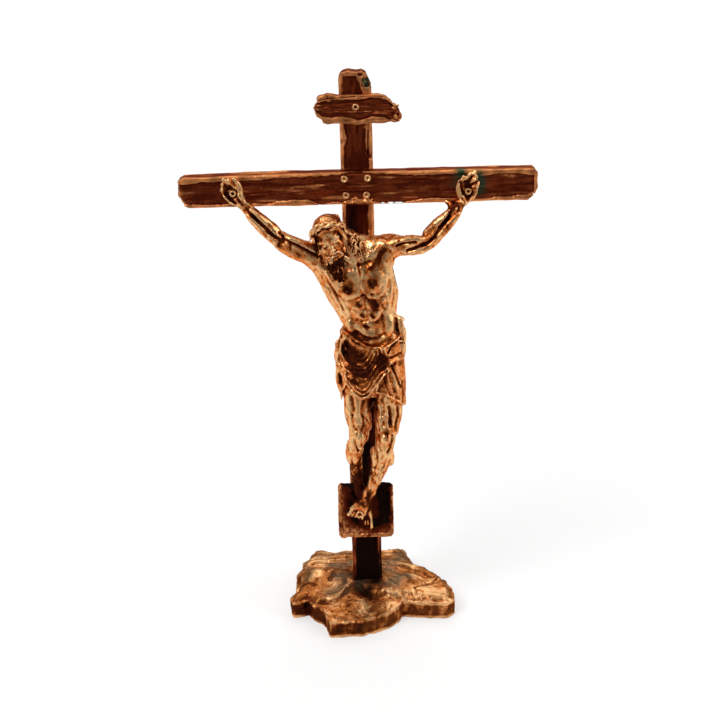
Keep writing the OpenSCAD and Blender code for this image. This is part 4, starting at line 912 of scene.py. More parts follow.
handSet = {                                     # lines are points, width, height, tone
    "right": {
        "nail": "right_hand_nail", "along": (-0.62, 0, 0.78), "across": (0.78, 0, 0.62),
        "curl": (0.5, 0.4, 0.5, 0.6),
        "lines": [
            ([(-42.6, 163), (-42.2, 159.6)], 2, -0.1, -2.6),
            ([(-43.9, 164.3), (-42.1, 162.9), (-40.5, 161.9)], 0.4, -0.8, -1.6),
            ([(-44, 161.5), (-42.7, 159.7), (-40.8, 158.2)], 0.4, -0.7, -1.4),
            ([(-39.4, 158.8), (-38.2, 157.6)], 0.5, -0.5, -2.2),
            ([(-43.6, 165.9), (-41.4, 163.9), (-39.3, 162), (-37.9, 159.9)], 0.34, 0.3, 1.7),
            ([(-46.1, 162.5), (-44.9, 160.7), (-43, 158.6), (-40.7, 157.2), (-39.4, 156.5)],
             0.32, 0.3, 1.9),
            ([(-42.8, 162.3), (-41.1, 162.1), (-39.6, 161), (-38.9, 159.6)], 0.3, 0.3, 2.4),
            ([(-44.9, 164.9), (-45.2, 163.6), (-45.1, 162.2)], 0.34, 0.25, 1.6)]},
    "left": {
        "nail": "left_hand_nail", "along": (0.42, 0, 0.9), "across": (-0.9, 0, 0.42),
        "curl": (0.2, 0.15, 0.3, 0.35),
        "lines": [
            ([(36.6, 162.8), (36.9, 159)], 2.1, -0.1, -2.6),
            ([(34.3, 163.4), (34.7, 160.9), (35.1, 159.4)], 0.4, -1.3, -2),
            ([(36.6, 163.4), (38.4, 165.2)], 0.4, -0.7, -1.2),
            ([(37.6, 162.2), (39.6, 163.2)], 0.35, -0.6, -1),
            ([(33.7, 163.9), (32.9, 162.7), (32.8, 161.5), (33.1, 160), (33.5, 158.7),
             (34.9, 156.6), (36, 155.8)], 0.32, 0.3, 1.3),
            ([(34.4, 160.2), (35.3, 158.1), (36, 156.5)], 0.3, 0.25, 2.2),
            ([(35.8, 164), (36.8, 165.5), (38.4, 166.2), (39.6, 165.3)], 0.35, 0.3, 1.8),
            ([(37.8, 162.9), (38.7, 164.2), (39.7, 163.9)], 0.3, 0.3, 2.2),
            ([(38.4, 161.5), (40.2, 162.4)], 0.3, 0.3, 2),
            ([(40.3, 162.5), (40, 160.8), (39.1, 158.8), (37.4, 157.2), (36, 155.8)],
             0.34, 0.3, 1.6)]}}


def sculptHand(clay, hand):
    nail = midOf(hand["nail"])
    palm, along, across = (np.array(v, float) for v in
                           ((nail[0], beamFrontY - 1.3, nail[2]), hand["along"], hand["across"]))
    along, across = along / np.linalg.norm(along), across / np.linalg.norm(across)
    up = np.array([0, -1.0, 0])
    wrist = palm - along * 4.2 + up * 0.5
    for k, (long, bend) in enumerate(zip((2.2, 2.5, 2.3, 1.8), hand["curl"])):
        spread = 1.9 - 1.25 * k                 # a ray of the palm, then its finger
        root = palm + along * (2.3 - 0.35 * abs(k - 1)) + across * spread
        clay.strand([(*(wrist + across * spread * 0.35), 1.15),
                     (*(palm + across * spread * 0.9), 1.05), (*root, 0.85)], 0.5)
        first = root + along * long * (1 - 0.35 * bend) + up * (0.35 + 0.9 * bend)
        second = first + along * long * (0.62 - 0.7 * bend) + up * 0.9 * bend
        tip = second + along * long * (0.42 - 0.85 * bend) - up * 0.1 + across * 0.05 * (1 - k)
        clay.strand([(*root, 0.78), (*first, 0.72), (*second, 0.64), (*tip, 0.58)], 0.2)
    base = palm - along * 2.4 + across * 1.3 + up * 0.5         # the thumb
    clay.strand([(*base, 1.2), (*(palm - along * 0.4 + across * 2.8 + up * 0.6), 1.15),
                 (*(palm + along * 1.8 + across * 3.5 + up * 0.9), 0.8),
                 (*(palm + along * 3.6 + across * 3.3 + up * 0.9), 0.66)], 0.35)
    clay.strand([(*(palm - along * 2 - across * 1.9 + up * 0.3), 1.15),
                 (*(palm + along * 0.6 - across * 2.2 + up * 0.2), 1.0)], 0.5)
    clay.ball(palm + up * 1.3, (1.5, 0.9, 1.7), blend=0.5, cut=True)    # the palm is hollow


def lineHand(clay, lines):                      # deep gaps and the palm in painted shade, bright edges as painted highlights
    for points, width, height, amount in lines:
        layLines(clay, [(points, width, -height)], beamFrontY - 10, beamFrontY)
        layLines(clay, [(points, width, amount)], beamFrontY - 10, beamFrontY + 1, "tone")


def seatNail(clay, node, radius):               # a shallow dish for a nail's head
    x, y, z = midOf(node)[0], boxMm(node)[0][1], midOf(node)[2]
    clay.ball((x, y - 1.4, z), (radius, 1.9, radius), blend=0.3, cut=True)
    clay.dab([(x, y + 0.6, z, radius), (x, y + 1.2, z, radius)], -2.4)


webSet = {                                      # metal left between the left arm and the beam
    "strands": [
        [(31.4, 4.8, 152.2, 1.8), (31.4, 4.1, 154.2, 1.3), (30.9, 3.6, 155.6, 1.1),
         (29.6, 3.3, 156.4, 0.7)],
        [(32.8, 4.8, 153.4, 1.8), (33.1, 4, 155.2, 1.4), (33, 3.5, 156.8, 1)]],
    "tone": [([(30.2, 155.6), (33.4, 155.8)], 1.5, -1.3), ([(22, 145), (33, 155)], 3.2, -0.5)]}


def sculptFigure(clay):
    sculptTrunk(clay)
    sculptLegs(clay)
    sculptFoot(clay, footSet["back"])
    sculptFoot(clay, footSet["front"])
    # painted shadow over the back foot and painted highlights on its toes
    layLines(clay, footSet["tone"], frontY - 7.2, frontY - 3, "tone")
    for arm in armSet.values():
        sculptArm(clay, arm)
    for hand in handSet.values():
        sculptHand(clay, hand)
    for hand in handSet.values():
        lineHand(clay, hand["lines"])
    seatNail(clay, "feet_nail", 2.0)
    layStrands(clay, webSet["strands"], 1.2)
    layLines(clay, webSet["tone"], paint="tone")


def cutFigure(clay):                            # flat against the upright and the crossbeam
    for low, high, face in (([-farOff, -farOff, 0], [farOff, farOff, 300], frontY),
                            (beamLow - [0, 9, 1.5], beamHigh + [0, 9, 9], beamFrontY)):
        place = clay.pocket(low, high)
        if place is not None:
            cells, x, y, z = place
            clay.merge(cells, face - y + 0 * x + 0 * z, 0.2, True)


def workSurface(clay):                          # the modeller's tool marks and uneven patina
    clay.roughen(corpusSet["worked"])
    tone = clay.paint["tone"]
    tone += 0.8 * clay.noise((2.6, 2.6, 3.4), 63) + 1.0 * clay.noise((1.0, 1.0, 1.3), 64)
    tone -= 1.5 * smoothStep(clay.noise((0.9, 0.9, 1.2), 70), 0.45, 0.75)       # pits


def shoulderSide(centres, name, outward):       # positive beyond the cut through a shoulder
    slope = math.radians(shoulderCut["slope"])
    spot = np.array(at(*shoulderCut[name]))
    return (centres - spot) @ np.array([math.cos(slope) * outward, 0, math.sin(slope)])


corpusSet = {"step": 0.285, "spare": 2.5, "bodyTone": 0.16,
             "worked": [((2.2, 2.2, 2.8), 0.16, 61), ((1, 1, 1.2), 0.11, 62)]}


def figureClay(node, tone=0.0):
    low, high = boxMm(node)
    clay = Clay(low - corpusSet["spare"], high + corpusSet["spare"], corpusSet["step"])
    sculptFigure(clay)
    workSurface(clay)
    clay.paint["tone"] += tone
    cutFigure(clay)
    return clay


def makeCorpus():
    body = fromClay("corpusBody", figureClay("corpus_body", corpusSet["bodyTone"]), figureBronze,
                    lambda c: (shoulderSide(c, "right", -1) < 0) & (shoulderSide(c, "left", 1) < 0))
    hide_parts("corpus_body")
    for name, node, label, outward in (("rightArm", "right_arm", "right", -1),
                                       ("leftArm", "left_arm", "left", 1)):
        arm = fromClay(name, figureClay(node), figureBronze,
                       lambda c: shoulderSide(c, label, outward) >= 0)
        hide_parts(node)


makeCorpus()


# ---- head, drawn in its own frame: x to its left, -y to its face, z up, 14 from chin to crown

headSet = {"centre": (-9.6, 11.2, 147.6), "height": 14.0, "lean": -22, "nod": 16, "turn": 0}
headScale = headSet["height"] / 14
headTurn = (turnMatrix((headSet["nod"], 0, 0)) @ turnMatrix((0, headSet["lean"], 0))
            @ turnMatrix((0, 0, headSet["turn"])))
headCentre = np.array(at(*headSet["centre"]))


def fromHead(points, onlyTurn=False):
    turned = np.asarray(points) @ headTurn.T
    return turned if onlyTurn else turned * headScale + headCentre


def toHead(x, out, z):
    return (np.array(at(x, out, z)) - headCentre) @ headTurn / headScale


def bothSides(rows):
    return rows, [(-x, *rest) for x, *rest in rows]


def sculptFace(clay):
    clay.ball((0, 0.8, 2.0), (4.8, 5.8, 4.5), blend=0)                     # skull
    clay.ball((0, -1.3, -1.4), (4.0, 4.1, 5.0), blend=1.2)
    clay.ball((0, -2.4, -4.6), (2.9, 2.9, 2.3), blend=1.2)                 # jaw
    for side in (-1, 1):
        clay.ball((side * 2.3, -4.1, -1.7), (1.5, 1.3, 1.5), blend=1.0)    # cheek
        clay.ball((side * 1.75, -5.75, -0.15), (1.3, 0.85, 0.75), blend=0.6, cut=True)
        clay.ball((side * 1.7, -4.75, -0.2), (1.0, 0.75, 0.62), blend=0.2)     # closed eye
    for rows in bothSides([(3.3, -4.0, 0.8, 0.35), (1.9, -4.7, 1.1, 0.35), (0.6, -4.9, 0.8, 0.35)]):
        clay.strand(rows, 1.1)                                             # brow
    clay.strand([(0, -5.0, 0.8, 0.5), (0, -5.5, -0.7, 0.5), (0, -6.0, -2.0, 0.62)], 0.8)
    clay.ball((0, -6.3, -2.2), (0.62, 0.62, 0.5), blend=0.25)
    for side in (-1, 1):
        clay.ball((side * 0.72, -5.75, -2.35), (0.42, 0.55, 0.4), blend=0.2)
    clay.strand([(-1.25, -5, -4.05, 0.22), (0, -5.6, -3.85, 0.36), (1.25, -5, -4.05, 0.22)], 0.2)
    clay.strand([(-1.05, -5.0, -4.6, 0.25), (0, -5.5, -4.7, 0.42), (1.05, -5.0, -4.6, 0.25)], 0.2)
    clay.stroke([(-1.3, -4.25), (0, -4.3), (1.3, -4.25)], 0.14, 0.22, -8, -3)
    for side in (-1, 1):
        clay.stroke([(side * 0.85, -0.5), (side * 1.7, -0.72), (side * 2.55, -0.48)], 0.13, 0.2,
                    -8, -3)
        clay.stroke([(side * 0.9, 0.35), (side * 1.7, 0.55), (side * 2.6, 0.3)], 0.14, 0.16, -8, -3)


def sculptBeard(clay, dice):
    for rows in bothSides([(0.15, -5.75, -3.25, 0.32), (1.2, -5.35, -3.65, 0.36),
                           (1.9, -4.7, -4.7, 0.32), (2.1, -4.3, -5.6, 0.25)]):
        clay.strand(rows, 0.25)                                            # moustache
    clay.ball((0, -3.6, -6.2), (2.5, 1.9, 2.1), blend=0.9)
    for k in range(15):                         # short curled locks round the jaw
        share = k / 14 * 2 - 1
        x, y = 3.4 * math.sin(share * 1.35), -1.3 - 3.6 * math.cos(share * 1.35)
        curl = dice.uniform(-0.5, 0.5)
        drop = 1.2 + 0.6 * (1 - abs(share)) + dice.uniform(-0.3, 0.3)
        clay.strand([(x, y, -4.3 - 1.2 * (1 - abs(share)), 0.42),
                     (x * 0.96 + curl * 0.5, y - 0.35, -4.9 - 0.4 * drop, 0.5),
                     (x * 0.8 - curl * 0.5, y - 0.15, -4.9 - 0.75 * drop, 0.42),
                     (x * 0.55 + curl * 0.4, y + 0.3, -4.6 - drop, 0.22)], 0.14)


def sculptHair(clay, dice):
    clay.ball((0, 1.2, 2.4), (5.0, 5.8, 4.5), blend=0.4)
    clay.ball((0, 2.6, -1.0), (4.8, 4.2, 5.0), blend=0.8)
    for side in (-1, 1):
        for k in range(13):                     # combed from the parting down to the ears
            back = k / 12
            y0 = -4.0 + 8.2 * back
            top = 6.9 - 0.10 * (y0 - 0.6) ** 2
            y1 = -3.9 + 8.9 * back
            rows = [(side * 0.25, y0, top - 0.15, 0.42),
                    (side * (2.2 + dice.uniform(-0.2, 0.2)), y0 + 0.2, top - 0.75, 0.5),
                    (side * (4.1 + dice.uniform(-0.2, 0.2)), y1, 3.9 - 0.6 * back, 0.52),
                    (side * (5.0 - 1.2 * back ** 2), y1 + 0.4, 1.2 - back, 0.52),
                    (side * (5.1 - 1.6 * back ** 2), y1 + 0.9, -1.6 - back, 0.5)]
            clay.strand(rows, 0.07)


def addMane(clay, dice, rows, curls, shadeAndPatina):
    # a hank of hair down to the shoulder, covered with small curls; rows as for the figure
    path = smoothRows(rows, 8)
    clay.strand([(*toHead(*row[:3]), row[3] * 0.85) for row in rows], 0.5)
    core, toneBefore = clay.field.copy(), clay.paint["tone"].copy()
    for k in range(curls):
        share = (k + dice.uniform(0, 1)) / curls
        x, out, z, wide = path[int(share * (len(path) - 1))]
        around = dice.uniform(-1.35, 1.35)
        x, out = x + wide * 0.9 * math.sin(around), out + wide * 0.9 * math.cos(around)
        turn, size, way = dice.uniform(0, 6.3), dice.uniform(0.55, 1.0), dice.choice([-1, 1])
        curl = []
        for i in range(6):                      # a short lock, hanging and bending back
            bend = turn + way * i * 0.55
            reach = size * (1.35 - 0.1 * i)
            spot = toHead(x + reach * math.cos(bend) * math.cos(around),
                          out - reach * math.cos(bend) * math.sin(around) + 0.05 * i,
                          z + reach * math.sin(bend) * 1.5)
            curl.append((*spot, 0.34 - 0.03 * i))
        clay.strand(curl, 0.06, steps=2)
    clay.paint["tone"][:] = 0                   # painted shade and patina between and under the curls
    clay.dab([(*toHead(*row[:3]), row[3] * 1.35 + 0.4) for row in rows], 1)
    shade = shadeAndPatina + min(1.5, 5.6 + shadeAndPatina) * smoothStep(core, 0.12, 0.5)
    clay.paint["tone"] = toneBefore + clay.paint["tone"] * shade


maneSet = {                                     # hanks of hair: path, number of curls, shade and patina; the left hank is darkest, painted shade under the chin
    "left": ([(-14, 11.6, 147, 1.5), (-12.4, 12.4, 144.2, 2.5), (-10.2, 12.8, 141.4, 3.1),
              (-8.5, 13.2, 138.4, 2.9), (-7.3, 13.6, 135.8, 2.1), (-6.7, 13.8, 133, 0.9)],
             70, -4.4),
    "right": ([(-4.0, 11.2, 147.4, 1.2), (-2.6, 11.6, 144.8, 1.5), (-1.2, 11.8, 142.4, 1.5),
               (0.6, 11.6, 140.0, 1.1)], 22, -1.3),
    "back": ([(-2.4, 9.4, 146.8, 1.3), (-0.2, 9.8, 144.2, 1.8), (2.2, 10.2, 141.8, 1.4)], 16, -1.3)}


def makeHead():
    dice = np.random.default_rng(7)
    clay = Clay((-8, -9, -16.5), (11, 8.5, 8.5), 0.15)
    sculptFace(clay)
    sculptHair(clay, dice)
    sculptBeard(clay, dice)
    for rows, curls, shadeAndPatina in maneSet.values():
        addMane(clay, dice, rows, curls, shadeAndPatina)
    for rows, amount in (                       # patina in the hair at the temples, painted shade under the beard and round the crown, a lighter middle of the face
            ([(-3.2, -3.2, -4.4, 1.6), (-2.4, -3.4, -6.4, 1.8), (-3.8, -1, -6, 2)], -1.5),
            ([(2.9, -3.4, -5, 1.2), (1.6, -3.6, -7, 1.3)], -1.0),
            ([(-4.9, -1.4, 0.4, 1.1), (-4.6, -1.6, -3, 1.1)], -1.3),
            ([(4.9, -1.2, 0.4, 1.2), (4.6, -1.4, -3, 1.3)], -1.5),
            ([(0, -4.4, 2.6, 2.2), (0, -4.6, 1.6, 2.4), (0, -5.6, -1.6, 2.8)], 0.7),
            ([(*crownPoint(k * math.pi / 12, 0), 1.45) for k in range(25)], -3.0)):
        clay.dab(rows, amount)
    clay.roughen([((0.5, 0.5, 0.5), 0.03, 3)])
    clay.paint["tone"] += 1.8 * clay.noise((1.2, 1.2, 1.2), 4) - 0.35
    head = fromClay("corpusHead", clay, figureBronze, place=fromHead)
    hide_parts("corpus_head")


crownSet = {"across": 5.6, "deep": 6.5, "middle": (0, 0.5, 1.9), "slope": 34, "arch": 1.5,
            "cane": 0.5, "canes": 2, "twists": 6}


def crownPoint(angle, phase):
    across, deep = crownSet["across"], crownSet["deep"]
    wind = crownSet["twists"] * angle + phase
    out = 0.45 * math.cos(wind)
    spot = np.array([(across + out) * math.cos(angle), (deep + out) * math.sin(angle),
                     0.7 * math.sin(wind) + crownSet["arch"] * max(0, -math.sin(angle)) ** 2])
    return turnMatrix((-crownSet["slope"], 0, 0)) @ spot + crownSet["middle"]


def makeCrown():
    dice = np.random.default_rng(11)
    clay = Clay((-8.5, -9, -3.5), (8.5, 9.5, 8), 0.15)
    steps = 90
    for cane in range(crownSet["canes"]):
        phase = 2 * math.pi * cane / crownSet["canes"]
        rows = [(*crownPoint(2 * math.pi * k / steps, phase), crownSet["cane"])
                for k in range(steps + 1)]
        clay.strand(rows, 0.08, steps=1)
    for k in range(26):                         # thorns
        angle = 2 * math.pi * (k + dice.uniform(-0.3, 0.3)) / 26
        root = crownPoint(angle, dice.choice([0, 2.1, 4.2]))
        way = np.array([math.cos(angle), math.sin(angle), 0]) * 0.75
        way = way + [dice.uniform(-0.6, 0.6), dice.uniform(-0.6, 0.6), dice.choice([-1, 1]) * 0.9]
        clay.strand([(*root, 0.3), (*(root + way * 0.55), 0.2), (*(root + way * 0.95), 0.09)], 0.15)
    clay.paint["tone"] += 1.7 + 1.3 * clay.noise((0.9, 0.9, 0.9), 12)
    crown = fromClay("crownOfThorns", clay, figureBronze, place=fromHead)
    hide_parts("crown_of_thorns")


makeHead()
makeCrown()


# ---- loincloth

clothSet = {                                    # lines are points, width, and height or tone
    "step": 0.22, "worked": [((2.4, 2.4, 2.8), 0.2, 65), ((1, 1, 1.2), 0.1, 66)],
    "body": [
        (4.4, 8, 84, 9, 6), (4, 8.3, 92.6, 10.4, 7.6), (3.3, 8, 98, 11, 8),
        (3.4, 7.6, 103.3, 10.6, 7.5), (3.5, 7.2, 108.1, 9.4, 6.9), (3.5, 7, 114, 9.2, 6.3)],
    "top": [
        (-12, 112.4), (-7, 114), (-4.8, 113.7), (-1.4, 111.4), (2.6, 109.3), (6.4, 109.1),
        (9.6, 109.7), (12.5, 111.8), (17, 113)],
    "hem": [
        (-12, 87.5), (-9.5, 88.2), (-7.4, 89), (-6.4, 93.6), (-5.2, 95.4), (-3, 92.2), (-0.2, 90.2),
        (2.8, 91.8), (4.8, 92.9), (7, 92.3), (9.9, 90.8), (12, 88.9), (14.2, 86.9), (17, 86.4)],
    "ends": [
        [(-5.6, 8.6, 112, 1.2), (-6.9, 8.4, 108, 1.9), (-7.7, 7.8, 104, 1.9),
         (-7.2, 7.6, 100.6, 1.3)],
        [(-7.9, 6, 103.6, 1.5), (-7.6, 6.6, 100.2, 1.4), (-7.3, 7.2, 98.4, 1.2)],
        [(-7, 7.6, 99.6, 1.1), (-7.9, 7.2, 96.4, 1.5), (-7.6, 7, 92.8, 1.2),
         (-6.3, 6.6, 88.8, 0.6)],
        [(-8, 4.6, 108, 1.3), (-8.3, 4.8, 99, 1.3), (-7.9, 4.8, 92, 1.1), (-7, 4.6, 88.4, 0.6)],
        [(11.9, 8.6, 106.6, 1.8), (12.3, 9, 100, 1.8), (12.9, 9.4, 93, 1.7),
         (13.6, 9.3, 87.6, 0.9)],
        [(13, 5.6, 108, 1.5), (13.3, 5.6, 99, 1.5), (13.6, 5.6, 91, 1.3), (13.6, 5.4, 87.6, 0.8)]],
    "belt": [(10.4, 7.4, 118, 0.7), (11, 7.8, 114, 1.4), (12, 8, 110, 1.6)],
    "raised": [
        ([(-5.6, 96.2), (-3, 92.9), (-0.1, 91.3), (2.1, 92.5), (4.2, 95.6), (6.6, 98.6),
         (9, 100.9)], 0.42, 0.75),
        ([(-5.3, 97.4), (-2.9, 94.4), (-0.2, 92.6), (1.9, 93.8), (3.8, 96.8), (6, 99.8),
         (8.6, 101.8)], 0.34, 0.5),
        ([(-5, 98.6), (-2.6, 95.9), (-0.1, 94.2), (1.7, 95.4), (3.2, 98.2), (5.2, 101), (8, 102.9)],
         0.34, 0.42),
        ([(-1.2, 96.2), (1, 96.6), (2.4, 99), (4.2, 102), (6.8, 103.8)], 0.3, 0.25),
        ([(-4.9, 100.6), (-3.3, 99.6), (-1.6, 97.8)], 0.35, 0.5),
        ([(-2.9, 101.9), (-1.4, 101.6), (1.1, 101.9), (3, 104), (4.3, 107)], 0.3, 0.24),
        ([(-1.8, 103), (0.2, 103.3), (1.8, 104.6), (3, 106.6), (3.6, 108)], 0.28, 0.2),
        ([(-1.6, 104.8), (0.2, 105.2), (1.6, 106.6), (2.4, 108.2)], 0.26, 0.18),
        ([(-2.6, 106.4), (-0.8, 106.8), (0.8, 108)], 0.22, 0.15),
        ([(-3.2, 100.4), (-1, 100.1), (1.2, 100.6), (3.2, 102.4), (4.8, 104.8), (5.4, 107)],
         0.28, 0.22),
        ([(-1.6, 98.6), (0.8, 98.2), (2.6, 99.6), (4.6, 102.8)], 0.28, 0.18),
        ([(5.3, 108), (5.9, 105.9), (7.6, 104.7)], 0.3, 0.4),
        ([(6.6, 108.4), (7.1, 106.6), (8.6, 105.4)], 0.3, 0.45),
        ([(7.9, 108.4), (8.1, 106.8), (9.2, 106)], 0.3, 0.45),
        ([(8.6, 102.7), (7.6, 100.4), (5.8, 97.6), (4.6, 94.2)], 0.45, 0.6),
        ([(8.9, 101.6), (8.7, 98), (9.9, 93.4), (10.6, 91)], 0.42, 0.45),
        ([(9.2, 102.4), (10.9, 98), (12.2, 93), (13.1, 89)], 0.9, 0.55),
        ([(4.9, 93.1), (7.4, 92.7), (10, 91.2), (12.4, 89.3), (14.6, 87.4)], 0.34, 0.5),
        ([(10, 109.2), (12.4, 111), (14.9, 112.2)], 0.8, 0.5),
        ([(9.8, 106.6), (12.4, 107.9), (14.9, 107.4)], 1.6, 0.5),
        ([(9.7, 103.4), (12.3, 103.9), (15, 103.2)], 0.7, 0.5),
        ([(-5.2, 113), (-6.2, 110.4), (-5.5, 107.6)], 0.5, 0.5),
        ([(-6.8, 111), (-7.4, 107.4), (-6.6, 104.6)], 0.5, 0.5),
        ([(-8.2, 106), (-8.6, 103.4), (-7.7, 101)], 0.5, 0.45),
        ([(-7.4, 103), (-6.4, 101.2), (-5.2, 100.8)], 0.4, 0.5),
        ([(-7, 99), (-7.7, 96.4), (-7.2, 93)], 0.5, 0.45),
        ([(-6, 99.6), (-5.8, 97), (-6.4, 94)], 0.4, 0.4)],
    "pressed": [
        ([(8.9, 106.6), (10.2, 109.2), (12.4, 110.4), (14.6, 111.2)], 0.34, 0.9),
        ([(9.8, 105), (12.6, 105.4), (15.2, 104.8)], 0.34, 0.6),
        ([(9.9, 102.4), (11.2, 99), (13, 94)], 0.34, 0.7),
        ([(13.4, 96), (13.7, 92), (13.5, 89)], 0.34, 0.4),
        ([(7.2, 98.4), (8, 95.4), (9.2, 92.4)], 0.28, 0.4),
        ([(-5.6, 106.2), (-5, 104.2)], 0.9, 0.9), ([(-4.6, 111.4), (-4.8, 108.2)], 0.4, 0.6),
        ([(-6.4, 108.4), (-6.2, 106)], 0.4, 0.6), ([(-7.6, 110), (-7.9, 107.6)], 0.35, 0.4),
        ([(-6.9, 101.4), (-8.6, 99.8)], 0.4, 0.5), ([(-7.7, 97.6), (-7.4, 94)], 0.55, 1),
        ([(-6.7, 92.4), (-6.2, 90)], 0.45, 0.6),
        ([(-4.6, 97.6), (-3, 96.4), (-1.4, 95.6)], 0.6, 0.5),
        ([(-4.4, 94.6), (-2.2, 92.5), (-0.1, 91.9), (1.9, 93.1)], 0.22, 0.35)],
    # tone: painted shade in the lap, at the waist and in the folds; painted highlights on the swags
    # and hems
    "tone": [
        ([(-3.2, 107), (-1, 105.6), (1.6, 104.4), (4.2, 104), (6.4, 103)], 2.7, -2.5),
        ([(-3.4, 101), (-0.6, 99.2), (2.2, 100.4)], 1.9, -2.2),
        ([(-5.4, 105.4), (-5.1, 104)], 0.8, -3.2),
        ([(-4, 103), (-1.8, 102), (0.2, 100)], 0.9, -1.6), ([(-3.6, 97.2), (-2, 96.2)], 0.9, -2.2),
        ([(6, 106.6), (7.4, 104.4)], 1.2, -1.8),
        ([(0.6, 101.9), (1.8, 102.6), (3, 104), (4.3, 107)], 0.24, 1.2),
        ([(-1.8, 103), (0.2, 103.3), (1.8, 104.6), (3, 106.6), (3.6, 108)], 0.24, 1.1),
        ([(-1.6, 104.8), (0.2, 105.2), (1.6, 106.6), (2.4, 108.2)], 0.22, 1),
        ([(0.4, 100.3), (1.8, 101), (3.4, 102.6), (4.8, 104.8), (5.4, 107)], 0.24, 1.1),
        ([(-1.6, 98.6), (0.8, 98.2), (2.6, 99.6), (4.6, 102.8)], 0.24, 1),
        ([(-4.8, 113), (-2.4, 111.2), (0, 109.9), (2.8, 108.7), (6.4, 108.5)], 0.5, -1.3),
        ([(-7, 113.6), (-4.4, 113.2)], 0.6, -1.4), ([(-6, 109.2), (-6, 108.2)], 0.6, -1.8),
        ([(-7.7, 97), (-7.4, 94.4)], 0.6, -2.4), ([(-6.6, 92), (-6.2, 89.4)], 0.7, -2.2),
        ([(-5.4, 96.2), (-3, 93), (-0.1, 91.4), (2.1, 92.6), (4.2, 95.8), (7, 99)], 0.8, 0.5),
        ([(10.2, 109), (12.6, 110.4)], 0.4, -1.5),
        ([(10, 102.2), (11.4, 98.6), (13, 94)], 0.4, -1.2), ([(9.9, 105), (12.6, 105.4)], 0.4, -1),
        ([(5.4, 94.8), (7.6, 96.8)], 1.1, -0.7), ([(11.4, 107.6), (13.6, 107.4)], 1.2, 0.5),
        ([(11.8, 101), (13.4, 97)], 1, 0.5), ([(12, 108), (12.6, 96), (13.4, 90)], 3, -0.35),
        ([(-6.2, 111), (-6.8, 108.6)], 0.9, 0.7), ([(-4.8, 99.8), (-3.4, 98.2)], 0.4, 1),
        ([(4.8, 94.4), (6.2, 97.6), (7.6, 100)], 0.4, 1), ([(1.6, 112.2), (5.2, 110.6)], 1, -0.6)],
    "sides": [(-9.6, 110, 90, 0.45), (-11.6, 109, 92, 0.4), (-13.6, 108, 90, 0.4)],
    "shadow": [(10.6, 8.6, 118, 1.3), (11.4, 9, 114, 1.5), (12.4, 9.2, 110.8, 1.2)]}


def curveAt(points, x):
    path = smoothRows(points, 6)
    return np.interp(x, path[:, 0], path[:, 1] + lift).astype(np.float32)


def sculptCloth(clay, nude):
    clay.column(figureRows(clothSet["body"]), 0, 2.2)
    clay.field = softMin(clay.field, nude.field - 0.9, 1.2)
    cells, x, y, z = clay.whole()
    clay.merge(cells, curveAt(clothSet["top"], x) - z + 0 * y, 0.5, True)
    clay.merge(cells, z - curveAt(clothSet["hem"], x) + 0 * y, 0.5, True)
    layStrands(clay, clothSet["ends"], 0.9)     # crumpled ends hanging at both hips
    clay.strand(figureRows(clothSet["belt"]), 0.5)
    for points, width, height in clothSet["raised"]:
        layLines(clay, [(points, width, -height)], frontY - 22, frontY - 5)
    layLines(clay, clothSet["pressed"], frontY - 22, frontY - 5)
    layLines(clay, clothSet["tone"], paint="tone")      # painted shade in the lap and the folds, painted highlights on the swags and hems
    for y, z0, z1, depth in clothSet["sides"]:  # folds round the left hip
        clay.stroke(lifted([(y, z0), (y - 0.5, (z0 + z1) / 2), (y + 0.4, z1)]), 0.45, depth,
                    plane=(1, 2))
    clay.dab(figureRows(clothSet["shadow"]), -3.2)
    clay.roughen(clothSet["worked"])
    clay.paint["tone"] += (0.8 * clay.noise((2.6, 2.6, 3), 67)
                           + 0.9 * clay.noise((1, 1, 1.2), 68) - 0.42)
    clay.field = np.maximum(clay.field, -(nude.field + 0.35))


def makeLoincloth():
    low, high = boxMm("loincloth")
    low, high = low - [2.5, 2.0, 2.5], high + [2.5, 1, 4.5]
    nude = Clay(low, high, clothSet["step"])
    sculptTrunk(nude)
    sculptLegs(nude)
    clay = Clay(low, high, clothSet["step"])
    sculptCloth(clay, nude)
    cutFigure(clay)
    cloth = fromClay("loinclothFolds", clay, figureBronze)
    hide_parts("loincloth")


knotSet = {                                     # strands with their blend; lines with a tone
    "step": 0.18, "worked": [((1.2, 1.2, 1.6), 0.1, 69)],
    "strands": [
        ([(11.6, 9.6, 118.4, 0.7), (12.6, 9.8, 118.2, 0.8), (14.2, 9.8, 117.2, 0.75)], 0.3),
        ([(13.1, 10.2, 117.6, 0.95), (13.8, 10.2, 114, 1.35), (14.5, 9.8, 109.6, 0.95)], 0.4),
        ([(12.6, 9.4, 117.4, 1), (13, 9, 113.6, 1.4), (13.7, 8.8, 110, 1.1)], 0.5),
        ([(11.2, 9.2, 118, 0.55), (11.4, 9.4, 114.4, 0.6), (12.4, 9.6, 110.4, 0.6)], 0.2),
        ([(11.4, 8.8, 109.6, 1.3), (13.6, 9, 108.4, 1.5), (14, 8.6, 105.2, 1.2)], 0.6),
        ([(11.6, 7.2, 117.6, 0.9), (12.2, 7.4, 114, 1.3), (12.8, 7.6, 110, 1.4)], 0.5),
        ([(10.6, 10, 110.4, 0.8), (12.4, 10.6, 110.2, 0.8), (14.2, 10, 109.4, 0.7)], 0.4)],
    "lines": [
        ([(11.7, 117.8), (12.2, 114.4), (13.1, 110.8)], 0.5, 0.6, -2.8),
        ([(13.5, 117.2), (13.6, 113.6), (14.3, 110.4)], 0.22, 0.4, -1.2),
        ([(14.5, 116.6), (14.9, 114.6)], 0.3, 0.3, -1),
        ([(13, 116.8), (13.7, 113), (14.4, 110.6)], 0.5, -0.15, 0.9),
        ([(11.2, 109.6), (14.8, 109)], 0.3, 0.5, -1.6)],
    "shadow": [(11.4, 8.4, 118, 1.1), (12, 8.6, 114.4, 1.3), (12.8, 8.8, 110.6, 1.1)]}


